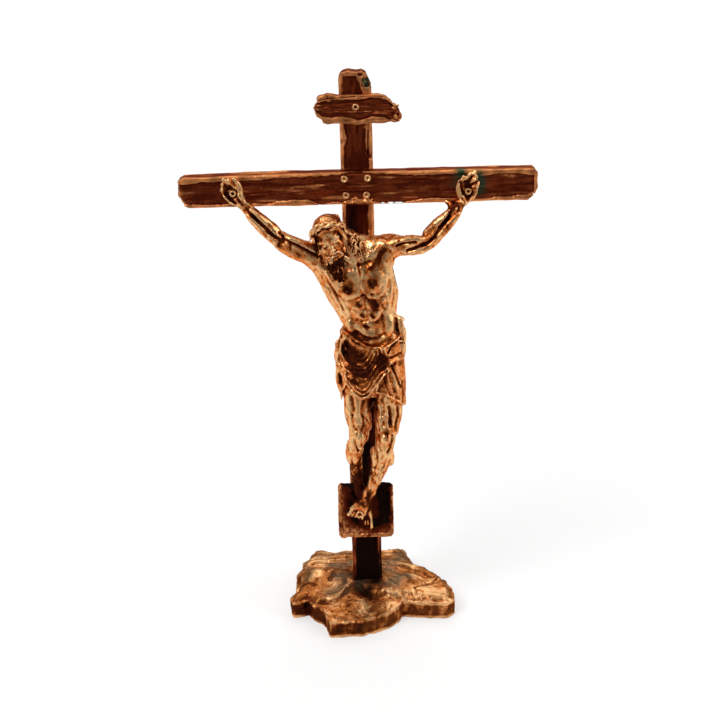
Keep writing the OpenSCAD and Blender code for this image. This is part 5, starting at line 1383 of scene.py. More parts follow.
def makeKnot():                                 # a folded end standing up from the belt
    low, high = boxMm("loincloth_knot")
    clay = Clay(low - 2.5, high + 2.5, knotSet["step"])
    for rows, blend in knotSet["strands"]:
        clay.strand(figureRows(rows), blend)
    for points, width, depth, amount in knotSet["lines"]:
        layLines(clay, [(points, width, depth)])
        layLines(clay, [(points, width * 1.2, amount)], paint="tone")
    clay.dab(figureRows(knotSet["shadow"]), -3.4)
    clay.roughen(knotSet["worked"])
    knotPiece = fromClay("loinclothKnot", clay, figureBronze)
    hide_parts("loincloth_knot")


makeLoincloth()
makeKnot()


# ---- the cross: upright, crossbeam, plaque and footrest

def boxGap(x, y, z, low, high):                 # distance to a box, negative inside
    middle, half = (np.array(low) + high) / 2, (np.array(high) - low) / 2
    dx, dy, dz = (np.abs(v - middle[k]) - half[k] for k, v in enumerate((x, y, z)))
    inner = np.minimum(np.maximum(dx, np.maximum(dy, dz)), 0)
    dx, dy, dz = (np.maximum(v, 0) for v in (dx, dy, dz))
    return inner + np.sqrt(dx ** 2 + dy ** 2 + dz ** 2)


def chamferGap(u, v, lowU, highU, lowV, highV, cut):    # a rectangle with cut corners
    du = np.abs(u - (lowU + highU) / 2) - (highU - lowU) / 2
    dv = np.abs(v - (lowV + highV) / 2) - (highV - lowV) / 2
    return np.maximum(np.maximum(du, dv), (du + dv + cut) * slant)


def edgeLine(axis, points, swing, pitch, seed):     # a drawn edge, broken along its way
    return np.interp(axis, *np.array(points).T) + raggedLine(axis, 0, swing, pitch, seed)


def someOf(dice, spans):                        # one random number from each span
    return [dice.uniform(*span) for span in spans]


def boreY(clay, hole, front, back, radius, blend=0):    # a straight hole, front to back
    clay.strand([(hole[0], front, hole[2], radius), (hole[0], back, hole[2], radius)], blend, 1,
                True)


def sinkFace(clay, mask, faceY, depth):         # lowers a front face where the mask is 1
    y = clay.whole()[2]
    near = 1 - smoothStep(y, faceY + 1.2, faceY + 2.2)
    clay.field += (mask * near * depth).astype(np.float32)
    worn = 0.85 + 0.9 * clay.noise((6, 3, 3), 92)
    clay.paint["tone"] += ((1 - mask) * near * worn - mask * near * 0.2).astype(np.float32)


beamSet = {                                     # drawn lines of the face, and how it is worn
    "chamfer": 0.8, "sink": 0.5, "step": 0.25, "bore": 0.75,
    "outline": [
        (-60.4, 160.2), (-58.8, 157.6), (-57, 156.3), (-40, 156.2), (-20, 156), (0, 156.1),
        (20, 155.95), (40, 156), (57, 156), (59.5, 158.2), (60.3, 160), (60.3, 165.4),
        (59.2, 166.6), (50, 166.7), (41, 166.9), (22, 166.8), (6, 167), (-8, 167), (-22, 166.9),
        (-40, 166.7), (-58.4, 166.2), (-60, 165.4)],
    "top": [
        (-61, 164.6), (-50, 164.8), (-38, 165.4), (-20, 165.6), (-14, 165.9), (-6, 166.6),
        (4, 166.6), (14, 165.8), (26, 165.7), (41, 165), (50, 165.6), (61, 165)],
    "foot": [
        (-61, 157.4), (-52, 157.2), (-40, 157.4), (-30, 157), (-21, 158), (-16, 157.6),
        (-13, 156.4), (-5, 156.5), (-2, 157.6), (3.5, 157.6), (5, 156.4), (14, 156.2), (24, 157.2),
        (30, 157.4), (36, 156.6), (50, 157.4), (61, 157.8)],
    "hewn": [((26, 2.2, 1.3), 0.13, 21), ((9, 1.2, 0.6), 0.09, 22), ((3.5, 2.5, 2.2), 0.1, 23)],
    "grain": [(-57, 50), (157.6, 165.2), (4, 13), (-0.25, 0.25)],
    "streaks": [(-57, 50), (157.6, 165.2), (5, 14), (-0.3, 0.3)],
    "chips": [(-3.5, 5), (156.6, 158.4), (0.25, 0.45)],
    # stain: green-tinted painted shadow of the left hand on the beam, round the hand and to its
    # right
    "stain": [
        ([(34.6, 166.4), (35, 165.2), (35.6, 164)], 1.5, 1.5),
        ([(41, 165), (41.6, 162), (40.8, 159.5)], 1.4, 1.2),
        ([(32.4, 162), (33, 164.5)], 1.2, 0.5)]}


def makeCrossbeam():
    clay = Clay(beamLow - spare, beamHigh + spare, beamSet["step"])
    x, y, z = clay.whole()[1:]
    clay.field[:] = np.maximum(
        outlineGap(x, z, beamSet["outline"]),
        chamferGap(y, z, beamFrontY, beamHigh[1], beamLow[2], beamHigh[2], beamSet["chamfer"]))
    top = edgeLine(clay.axes[0], beamSet["top"], 0.75, 6, 4)[:, None, None]
    foot = edgeLine(clay.axes[0], beamSet["foot"], 0.6, 5, 8)[:, None, None]
    sunk = (1 - smoothStep(z, top - 0.3, top + 0.05)) * smoothStep(z, foot - 0.05, foot + 0.3)
    sunk = sunk * (1 - smoothStep(x, 59.0, 59.4)) + 0 * y
    sinkFace(clay, sunk, beamFrontY, beamSet["sink"])
    clay.paint["tone"] += 0.8 * clay.noise((14, 3, 1.8), 93) + 0.5 * clay.noise((4, 2, 1), 94)
    clay.paint["tone"] += 1.1 * smoothStep(clay.noise((6, 3, 0.6), 97), 0.2, 0.75)    # streaks
    clay.roughen(beamSet["hewn"])
    dice = np.random.default_rng(5)
    for _ in range(34):
        x0, z0, long, rise = someOf(dice, beamSet["grain"])
        clay.stroke([(x0, z0), (x0 + long / 2, z0 + rise), (x0 + long, z0 - rise)], 0.16,
                    dice.choice([-0.13, 0.2]), behind=beamFrontY + 2)
    for _ in range(16):                         # bright streaks, in front and behind
        x0, z0, long, rise = someOf(dice, beamSet["streaks"])
        clay.stroke([(x0, z0), (x0 + long, z0 + rise)], 0.3, 0.7, behind=beamFrontY + 2,
                    paint="tone")
        rise = dice.uniform(*beamSet["streaks"][3])
        clay.stroke([(x0, z0), (x0 + long, z0 + rise)], 0.2, 0.8, beamHigh[1] - 2, paint="tone")
    for _ in range(14):                         # chipped lumps along the lower edge
        x0, z0, width = someOf(dice, beamSet["chips"])
        clay.stroke([(x0, z0), (x0 + 0.3, z0 + 0.1)], width, dice.choice([-0.4, 0.35]),
                    behind=beamFrontY + 2)
    # painted shadow of the left hand, green-tinted, through the stain layer
    for points, width, amount in beamSet["stain"]:
        clay.stroke(points, width, amount, behind=beamFrontY + 3, paint="stain")
    for hole in (midOf("right_hand_nail"), midOf("left_hand_nail")):
        boreY(clay, hole, beamFrontY - 2, -8, beamSet["bore"], 0.1)
    beam = fromClay("crossbeamHewn", clay, beamBronze)
    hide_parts("crossbeam")


uprightSet = {
    "chamfer": 0.8, "sink": 0.5, "step": 0.3, "baseTop": 12, "faceTop": 198, "tenon": 4.35,
    "bore": 2.05,
    "crown": [
        (-5.35, 3), (5.35, 3), (5.35, 195.2), (4.4, 197.2), (3.6, 199), (2.2, 199.7), (0, 199.5),
        (-2.2, 199.85), (-4.2, 199.4), (-5, 198.6), (-5.35, 197)],
    "left": [
        (0, -4.2), (60, -4), (110, -4.2), (154, -4.2), (168, -4.4), (172, -4.6), (175, -4.2),
        (177.9, -3.4), (181, -4), (184, -4.2), (196, -4.3), (200, -4.2)],
    "right": [
        (0, 4.2), (60, 4), (110, 4.1), (140, 3.6), (154, 3.5), (168, 4.1), (171, 3.9), (172.4, 3.2),
        (174, 3.3), (180, 3.3), (182, 3), (186, 3.6), (193, 2.4), (196, 1.2), (198, 0.6),
        (200, 0.4)],
    "hewn": [((1.3, 2.2, 26), 0.13, 31), ((0.6, 1.2, 9), 0.08, 32), ((2.2, 2.5, 4), 0.1, 33)],
    "grain": [(-3.8, 3.4), (16, 190), (4, 13), (-0.25, 0.25)],
    "sideGrain": [(-6, 0), (14, 185), (6, 16), (-0.3, 0.3)],
    "split": [(3.9, 170), (3.8, 174), (4, 180.5)],
    "chips": [
        (3.6, 172.6, 0.6, 0.7), (4.4, 171.2, 0.5, 0.5), (2.9, 181.2, 0.5, -0.3),
        (-4.6, 176.4, 0.5, 0.3), (4.3, 149.5, 0.5, -0.3), (3.4, 145.2, 0.5, -0.35),
        (4.2, 141, 0.5, -0.3)],
    # tone: painted shadow under the footrest, behind the figure's legs and body and just above the
    # crossbeam; painted shade behind the head with a lighter streak beside it
    "tone": [
        ([(-3, 143), (-2, 150)], 3.2, -0.8), ([(2.6, 151), (2.2, 146)], 1.4, 0.25),
        ([(0, 11), (0, 30)], 7, -2.2), ([(0, 166.8), (0, 168.6)], 5, -1.2),
        ([(0, 52), (0, 90)], 5, -2.4), ([(-1.5, 96), (-1.5, 154)], 3, -1.7)]}


def makeUpright():
    clay = Clay(uprightLow - spare, uprightHigh + spare, uprightSet["step"])
    cells, x, y, z = clay.whole()
    clay.field[:] = np.maximum(
        outlineGap(x, z, uprightSet["crown"]),
        chamferGap(x, y, uprightLow[0], uprightHigh[0], frontY, uprightHigh[1],
                   uprightSet["chamfer"]))
    left = edgeLine(clay.axes[2], uprightSet["left"], 0.4, 5, 14)[None, None, :]
    right = edgeLine(clay.axes[2], uprightSet["right"], 0.45, 4, 18)[None, None, :]
    faceTop = uprightSet["faceTop"]
    sunk = smoothStep(x, left - 0.05, left + 0.25) * (1 - smoothStep(x, right - 0.25, right + 0.05))
    sunk = sunk * (1 - smoothStep(z, faceTop, faceTop + 0.5)) + 0 * y
    sinkFace(clay, sunk, frontY, uprightSet["sink"])
    clay.paint["tone"] += 0.8 * clay.noise((1.8, 3, 12), 95) + 0.5 * clay.noise((1, 2, 4), 96)
    # painted shadow of the footrest on the upright's front below it
    clay.paint["tone"] -= 1.2 * (1 - smoothStep(z, 33, 36)) * (y < frontY + 3)
    clay.roughen(uprightSet["hewn"])
    dice = np.random.default_rng(15)
    for _ in range(30):
        x0, z0, long, way = someOf(dice, uprightSet["grain"])
        clay.stroke([(x0, z0), (x0 + way, z0 + long / 2), (x0, z0 + long)], 0.16,
                    dice.choice([-0.13, 0.2]), behind=frontY + 2)
    for _ in range(24):                         # grain on both sides and the back
        y0, z0, long, way = someOf(dice, uprightSet["sideGrain"])
        clay.stroke([(y0, z0), (y0 + way, z0 + long)], 0.2, dice.choice([-0.1, 0.22]),
                    plane=(1, 2))
    clay.stroke(uprightSet["split"], 0.28, 0.5, behind=frontY + 2)
    clay.stroke(uprightSet["split"], 0.3, -1.6, behind=frontY + 2, paint="tone")
    for x0, z0, width, depth in uprightSet["chips"]:
        clay.stroke([(x0, z0), (x0, z0 + 0.7)], width, depth, behind=frontY + 2)
    for _ in range(12):                         # broken facets on the top's right corner
        spot = (dice.uniform(1, 4.6), frontY + dice.uniform(-0.6, 5), dice.uniform(193, 199.4))
        clay.ball(spot, dice.uniform(0.7, 1.5, 3), dice.uniform(0, 90, 3), 0.15, True)
        clay.stroke([spot[::2], (spot[0] + 0.3, spot[2])], 1.0, 0.25, paint="stain")
    housing = boxGap(x, y, z, (-farOff, -farOff, beamLow[2]), (farOff, beamHigh[1], beamHigh[2]))
    clay.merge(cells, housing, 0, True)
    clay.field = np.maximum(clay.field, uprightSet["baseTop"] - z + 0 * x + 0 * y)
    y0, half, tenonTop = midOf("upright")[1], uprightSet["tenon"], uprightSet["baseTop"] + 0.4
    tenon = boxGap(x, y, z, (-half, y0 - 3, uprightLow[2]), (half, y0 + 3, tenonTop))
    clay.merge(cells, tenon, 0)
    clay.strand([(0, y0, 5, uprightSet["bore"]), (0, y0, 13.3, uprightSet["bore"])], 0, 1, True)
    # painted shadow of the figure, the footrest and the crossbeam on the upright
    for points, width, amount in uprightSet["tone"]:
        clay.stroke(points, width, amount, paint="tone")
    upright = fromClay("uprightHewn", clay, beamBronze)
    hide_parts("upright")


plaqueSet = {
    "step": 0.18, "sink": 0.75, "bore": 0.75,
    "outline": [
        (-13.9, 188.3), (-13.3, 189.7), (-12.5, 190.2), (-12.6, 191.6), (-11.8, 192.4),
        (-10.2, 192.7), (-9.6, 193.1), (-6, 192.5), (-2, 192.6), (3, 192.4), (7.6, 192.7),
        (9.4, 192.2), (10.6, 191.2), (11.6, 190.4), (12.2, 189.4), (13.2, 189.1), (13.9, 188),
        (14.4, 187.4), (14.6, 186.3), (15.3, 185.6), (15.1, 184.4), (14.2, 183.5), (12.8, 183.2),
        (11.6, 183.6), (9, 183.1), (5, 183.2), (1, 182.9), (-3, 183.1), (-7, 183.4), (-9.4, 183.2),
        (-10.8, 183.6), (-11.4, 184.8), (-12.6, 185.6), (-13.4, 187)],
    "upper": [
        (-16, 189.6), (-12.4, 190.2), (-9.8, 191.2), (-8.6, 190.6), (-7.4, 191.5), (-6.6, 191.1),
        (-3, 191.4), (1, 191), (4, 191.5), (7.9, 191.6), (10.4, 190.6), (12, 189.2), (16, 187)],
    "lower": [
        (-16, 187.4), (-12.8, 187), (-11.2, 185.6), (-8, 185.2), (-4.6, 185.4), (-1.6, 184.9),
        (0.8, 184.1), (3, 184.5), (5.6, 185.2), (9, 184.8), (11.1, 184), (16, 184.4)],
    "hewn": [((14, 2, 0.8), 0.14, 43), ((5, 1.4, 0.5), 0.1, 44), ((1.8, 1.8, 1.8), 0.12, 45)],
    "grain": [(-12, 8), (185.6, 190.8), (3, 8), (-0.15, 0.15)],
    "splits": [
        ([(-12.4, 191), (-9, 191.6), (-6.8, 191.6)], 0.5), ([(-4.6, 191.8), (0, 192)], 0.5),
        ([(-13.4, 188.6), (-11, 188.8), (-9.6, 189.1)], 0.35),
        ([(-13.2, 187.4), (-11.4, 187.2)], 0.3), ([(-9.3, 190.9), (-9.2, 192.4)], 0.35),
        ([(-7.6, 191), (-7.7, 192.2)], 0.3), ([(1.4, 191.8), (5, 192), (9, 191.6)], 0.35)]}


def makePlaque():
    low, high = boxMm("title_plaque")
    clay = Clay(low - spare, high + spare, plaqueSet["step"])
    x, y, z = clay.whole()[1:]
    edge = outlineGap(x, z, plaqueSet["outline"])
    board = np.abs(y - (low[1] + high[1]) / 2) - (high[1] - low[1]) / 2
    clay.field[:] = -softMin(-edge, -board, 0.5)
    upper = edgeLine(clay.axes[0], plaqueSet["upper"], 0.3, 3, 41)[:, None, None]
    lower = edgeLine(clay.axes[0], plaqueSet["lower"], 0.2, 4, 42)[:, None, None]
    sunk = (1 - smoothStep(z, upper - 0.3, upper)) * smoothStep(z, lower, lower + 0.4) + 0 * y
    sinkFace(clay, sunk, low[1], plaqueSet["sink"])
    clay.roughen(plaqueSet["hewn"])
    dice = np.random.default_rng(25)
    for _ in range(26):                         # wood grain across the bare face
        x0, z0, long, rise = someOf(dice, plaqueSet["grain"])
        clay.stroke([(x0, z0), (x0 + long / 2, z0 + rise), (x0 + long, z0)], 0.14,
                    dice.choice([-0.14, 0.22]), behind=low[1] + 1.8)
    for points, depth in plaqueSet["splits"]:   # in the upper edge and the pointed end
        clay.stroke(points, 0.2, depth, behind=low[1] + 2)
    for k in range(16):                         # the crumbled right end
        x0, out, z0 = someOf(dice, [(11.2, 14.9), (-0.3, 1.2), (183.6, 189)])
        clay.ball((x0, low[1] + out, z0), dice.uniform(0.35, 0.8, 3), blend=0.15, cut=bool(k % 2))
    clay.field = np.maximum(clay.field, y - high[1] + 0 * x + 0 * z)
    boreY(clay, midOf("title_nail"), low[1] - 2, high[1] + 2, plaqueSet["bore"], 0.1)
    plaque = fromClay("titlePlaque", clay, beamBronze)
    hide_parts("title_plaque")


footrestSet = {
    "corner": 1, "sink": 0.3, "step": 0.22, "bore": 0.75, "dowelBore": 1.05,
    "hewn": [((1.3, 2, 4), 0.16, 54), ((1.2, 1.2, 1.2), 0.14, 55)],
    # tone: painted shadow of the feet and legs round the feet, to their right and along the top
    # edge; lighter left rim and bottom band
    "tone": [
        ([(-9, 51), (-8.8, 47), (-8.7, 43)], 1.1, 1.4), ([(-8, 41), (-7.6, 36)], 1.7, 1),
        ([(-8, 34.8), (-2, 35), (4, 34.6), (8, 35)], 1.5, 0.7),
        ([(-8, 52.2), (0, 52.2), (9, 52.2)], 0.9, -2.8),
        ([(6.4, 49.6), (6.8, 45), (6.4, 40), (4, 38.4)], 2.4, -3.4),
        ([(-6, 42), (-4, 39), (0, 37.4)], 1.7, -2.6), ([(-3, 51), (-2, 48)], 2.6, -2.4),
        ([(-5.6, 49), (-5.4, 44)], 2.4, -1.8), ([(4, 51), (7, 47), (7, 40)], 2.2, -1.4)]}


def makeFootrest():
    low, high = footrestLow, footrestHigh
    clay = Clay(low - spare, high + spare, footrestSet["step"])
    x, y, z = clay.whole()[1:]
    thick = slabSet["thick"] - slabSet["taper"] * (z - low[2]) / (high[2] - low[2])
    slab = np.maximum((frontY - thick - y) * 0.985, y - frontY) + 0 * x
    outer = chamferGap(x, z, low[0], high[0], low[2], high[2], footrestSet["corner"])
    clay.field[:] = -softMin(-slab, -outer - 0 * y, 0.5)
    axis = clay.axes[2]
    left = raggedLine(axis, low[0] + 0.9, 0.5, 4, 51)[None, None, :]
    right = raggedLine(axis, high[0] - 1.1, 0.6, 3, 52)[None, None, :] - 0.9 * (z > 41) * (z < 43)
    foot = raggedLine(clay.axes[0], low[2] + 1.1, 0.5, 3.5, 53)[:, None, None]
    sunk = (smoothStep(x, left, left + 0.5) * (1 - smoothStep(x, right - 0.5, right))
            * smoothStep(z, foot, foot + 0.5))
    near = 1 - smoothStep(y - (frontY - thick), 1.2, 2.0)
    clay.field += (sunk * near * footrestSet["sink"]).astype(np.float32)
    worn = 0.45 + 1.9 * clay.noise((1.8, 2.5, 2.2), 56)
    clay.paint["tone"] += ((1 - sunk) * near * worn).astype(np.float32)
    clay.paint["tone"] += (0.9 * clay.noise((1.6, 1.6, 2.4), 57)
                           + 0.8 * clay.noise((0.7, 1, 0.9), 58))
    clay.roughen(footrestSet["hewn"])
    # painted shadow of the feet and legs, and the lighter rim and bottom band
    for points, width, amount in footrestSet["tone"]:
        clay.stroke(points, width, amount, paint="tone")
    boreY(clay, midOf("feet_nail"), -16, -5, footrestSet["bore"])
    dowelLow, dowelHigh = boxMm("footrest_dowels")
    for z0 in (dowelLow[2] + 1, dowelHigh[2] - 1):
        boreY(clay, (0, 0, z0), dowelLow[1], -5, footrestSet["dowelBore"])
    footrest = fromClay("footrestSlab", clay, beamBronze)
    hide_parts("footrest")


makeCrossbeam()
makeUpright()
makePlaque()
makeFootrest()


# ---- nails, with dished heads struck a little out of round

nailSet = {"shank": 0.68, "rim": 0.3, "step": 0.12, "turns": 14,
           "four": [(0, 1, 1.25, -1.35), (1, 1, -1.25, -1.25), (0, 0, 1.65, 1.25),
                    (1, 0, -1.75, 1.25)]}       # which corner of their box, and how far from it


def addNail(clay, x, z, headY, endY, radius, dice):
    rim, shank, turns = nailSet["rim"] * radius / 1.2, nailSet["shank"], nailSet["turns"]
    lean = dice.uniform(-0.06, 0.06, 2)
    ring = []
    for k in range(turns + 1):
        angle = 2 * math.pi * (k % turns) / turns
        reach = (radius - rim) * (1 - 0.07 * abs(math.sin(angle * 1.5 + lean[0] * 30)))
        ring.append((x + reach * math.cos(angle), headY + rim + 0.05 * math.sin(2 * angle),
                     z + reach * math.sin(angle), rim * (0.9 + 0.1 * math.cos(3 * angle))))
    clay.ball((x, headY + rim + 0.22, z), (radius * 0.86, 0.36, radius * 0.86), blend=0.05)
    clay.strand(ring, 0.12, 3)
    clay.strand([(x, headY + 0.7, z, shank), (x, endY - shank, z, shank)], 0.1, 1)
    clay.ball((x, headY + 0.1, z), (radius * 0.5, 0.42, radius * 0.5), blend=0.06, cut=True)
    clay.stroke([(x, z), (x + 0.05, z)], radius * 0.48, -3.2, behind=headY + 1.2,
                paint="tone")
    clay.paint["tone"] += 0.5


def makeNails(name, node, spots, radius, seed):
    low, high = boxMm(node)
    dice = np.random.default_rng(seed)
    clay = Clay(low - 1, high + 1, nailSet["step"])
    for x, z in spots:
        addNail(clay, x, z, low[1] + 0.02, high[1], radius, dice)
    clay.roughen([((0.8, 0.8, 0.8), 0.03, seed + 1)])
    nails = fromClay(name, clay, nailBronze)
    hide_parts(node)


def nailSpot(node):
    middle = midOf(node)
    return [(middle[0], middle[2])]


def fourSpots(node):
    corners = boxMm(node)
    return [(corners[i][0] + dx, corners[j][2] + dz) for i, j, dx, dz in nailSet["four"]]


makeNails("crossbeamNails", "crossbeam_nails", fourSpots("crossbeam_nails"), 1.24, 61)
makeNails("titleNail", "title_nail", nailSpot("title_nail"), 1.14, 63)
makeNails("rightHandNail", "right_hand_nail", nailSpot("right_hand_nail"), 1.19, 65)
makeNails("leftHandNail", "left_hand_nail", nailSpot("left_hand_nail"), 1.19, 67)
makeNails("feetNail", "feet_nail", nailSpot("feet_nail"), 1.44, 69)


# ---- rock base; its points are offsets from the upright's axis

rockSet = {
    "rim": 6.5, "top": 12, "step": 0.34, "screwBore": 2.05, "headBore": 4.3, "headDeep": 3.4,
    "tenon": 4.45, "shelf": 1.7,
    "mounds": [(3.9, 0, 1, 13, 2), (0.8, 14, -2, 7, 2), (-0.3, -5, -16, 7, 2)],
    "boulders": [(3.1, -19.5, 4.6, 5.6, 2.4), (0.5, -12, 18, 6, 2)],
    "outline": [
        (-14.5, -25), (-8, -24.9), (-2.5, -24.6), (3, -22), (7.5, -19.5), (11.5, -15),
        (13.2, -11.6), (20, -13), (29.6, -13.6), (32.8, -10), (32.2, -3), (30, 4), (26.5, 9.4),
        (22.6, 15), (18.6, 17), (17, 24), (14.8, 31.4), (9.4, 30.4), (4, 29.6), (-4, 29),
        (-9, 29.4), (-12.8, 28), (-16.5, 31.2), (-20.5, 30.8), (-25.2, 20), (-28, 10), (-27.6, -2),
        (-29.8, -6.6), (-28.2, -10.6), (-24, -10), (-22.6, -9.2), (-21, -12.6), (-17, -15.8)],
    "shelfEdge": [
        (-40, -12), (-24, -12.4), (-20, -12.2), (-17, -11.2), (-13, -11.4), (-10.4, -9.4),
        (-8.6, -7), (-6, -5.4), (-3.4, -5.2), (-1.6, -8.2), (0.2, -10.8), (2.6, -10.4), (6, -9),
        (9, -10), (12.4, -10.6), (14, -12), (40, -30)],
    "raised": [
        ([(-24, 16), (-18, 18), (-11, 17.4), (-5.5, 14.5)], 1.1, 0.7),
        ([(-25, 12), (-19, 14.6), (-12, 13.6), (-6, 11)], 0.9, 0.7),
        ([(-24, 20), (-16, 22), (-8, 21.6), (-1, 20)], 1.3, 0.6),
        ([(-21, 26), (-13, 25), (-4, 25.6)], 1.4, 0.5),
        ([(-14, 6.4), (-10, 5), (-7, 2.4)], 1.3, 0.7),
        ([(-12.5, 0.6), (-9, 0), (-7.4, -3)], 1.2, 0.6),
        ([(7.6, 4.6), (11, 1.6), (14, -1)], 1.2, 0.6), ([(7, 10), (12, 9.4), (17.6, 7)], 1.3, 0.6),
        ([(6.4, 16), (11, 15.6), (15.4, 12.4)], 1.2, 0.5),
        ([(3.4, -2.4), (6.6, -4.6), (10.4, -5.6)], 1.2, 0.5),
        ([(-3.6, -5.6), (0, -6.8), (3, -6.4)], 0.9, 0.4),
        ([(18, 4), (22, 1.6), (26.4, 2)], 1.8, 0.35),
        ([(-6, -2.6), (-2.4, -4.4), (2, -4.6), (6, -3)], 2.2, 1.2)],
    "pressed": [
        ([(-23, 13.6), (-18, 16.2), (-11.4, 15.4), (-6, 12.8)], 0.6, 0.5),
        ([(-13.4, 9), (-12.8, 5), (-14.4, 0.6)], 0.8, 0.6), ([(-24.6, 7), (-23.8, 3.4)], 0.6, 0.5),
        ([(-26, 7), (-25.4, 1), (-26, -4)], 0.6, 0.5),
        ([(-19, -6), (-14, -6.8), (-10, -6)], 0.8, 0.4),
        ([(17.4, -5.4), (20.4, -3.4), (24.6, -0.2), (28.6, 6)], 0.35, 0.55),
        ([(17.4, -5.4), (18, -8), (16.8, -11)], 0.35, 0.35),
        ([(8.8, 7), (13.6, 4.4), (17, 0.4)], 0.8, 0.6),
        ([(7, 12.6), (12.6, 12.4), (17.8, 9.8)], 0.7, 0.6),
        ([(-9, 8.4), (-7.4, 6), (-6.8, 2)], 0.8, 0.6),
        ([(-2.6, -5.6), (-1.2, -8.6), (0.6, -10.6)], 0.6, 0.6),
        ([(4.6, -6.6), (4.2, -8.4), (2.8, -10.2)], 0.6, 0.5),
        ([(-20, 24), (-12, 23.4), (-3, 23.4)], 0.8, 0.5),
        ([(2, 26), (9, 25), (14.6, 25.4)], 1, 0.5)],
    # tone: darker round the upright's foot, patina with the upright's painted shadow in front;
    # painted shade on the left side of the boulder; lighter shelf, ridges, boulder top and plateau
    "tone": [
        ([(-12, -20), (-4, -19), (3, -17), (9, -14)], 4, 0.4),
        ([(-4, 1), (-3.6, -4), (-1.6, -9)], 2.4, -2.1), ([(4, 2), (3.4, -5)], 2.2, -1.7),
        ([(-6, 3), (-7.6, -1)], 2, -1.2), ([(0.4, -8), (1, -11)], 1, -1.8),
        ([(-4, -5), (0, -6), (4.4, -5)], 1.8, -1), ([(-6, 8), (-9, 4)], 2.4, -0.6),
        ([(-22, 14), (-26, 6), (-25, 0)], 1.8, -0.8),
        ([(-24, 18), (-15, 19.6), (-7, 16.8)], 1.2, 0.7), ([(-20, 6), (-19, 2)], 2.6, 0.8),
        ([(17, -8), (22, -5), (26, -9)], 3.4, 0.6), ([(19, 2), (24, 1)], 3.6, 0.5),
        ([(13, -10.4), (8, -9.4)], 1.6, 0.8), ([(18, 12), (22, 9)], 3, 0.4),
        ([(-16, -12.6), (-12, -12.2)], 1, 0.8), ([(-6, -7.6), (-9, -9.6)], 0.9, 0.6)],
    "stain": [
        ([(-14, 14), (-8, 12), (-5, 16)], 3, 1.1), ([(-20, 22), (-8, 24)], 3, 0.7),
        ([(-11, 3), (-9, -3), (-14, -7)], 3.2, 1), ([(8, 6), (12, 1), (9, -5)], 3.2, 1.2),
        ([(8, 13), (12, 18), (14, 25)], 3.8, 1), ([(-3, -3), (-1, -5)], 1.8, 0.8),
        ([(-23, 12), (-21, 8), (-23, 2)], 1.6, 0.8), ([(14.5, 3.4), (16.5, 1.6)], 1.4, 0.9)]}


def rockTop(x, y, inland):                      # height of the stone, before its smaller shapes
    def bumps(key, height):
        for rise, cx, cy, wide, power in rockSet[key]:
            gap = (((x - cx) ** 2 + (y - cy) ** 2) / wide ** 2) ** (power / 2)
            height = height + rise * np.exp(-gap)
        return height
    edge = np.interp(x[:, 0], *np.array(rockSet["shelfEdge"]).T)
    edge = (edge + raggedLine(x[:, 0], 0, 0.7, 3, 71))[:, None]
    upland = rockSet["shelf"] * smoothStep(y, edge - 0.3, edge + 1.0)
    return bumps("mounds", rockSet["rim"]) + inland * bumps("boulders", upland)


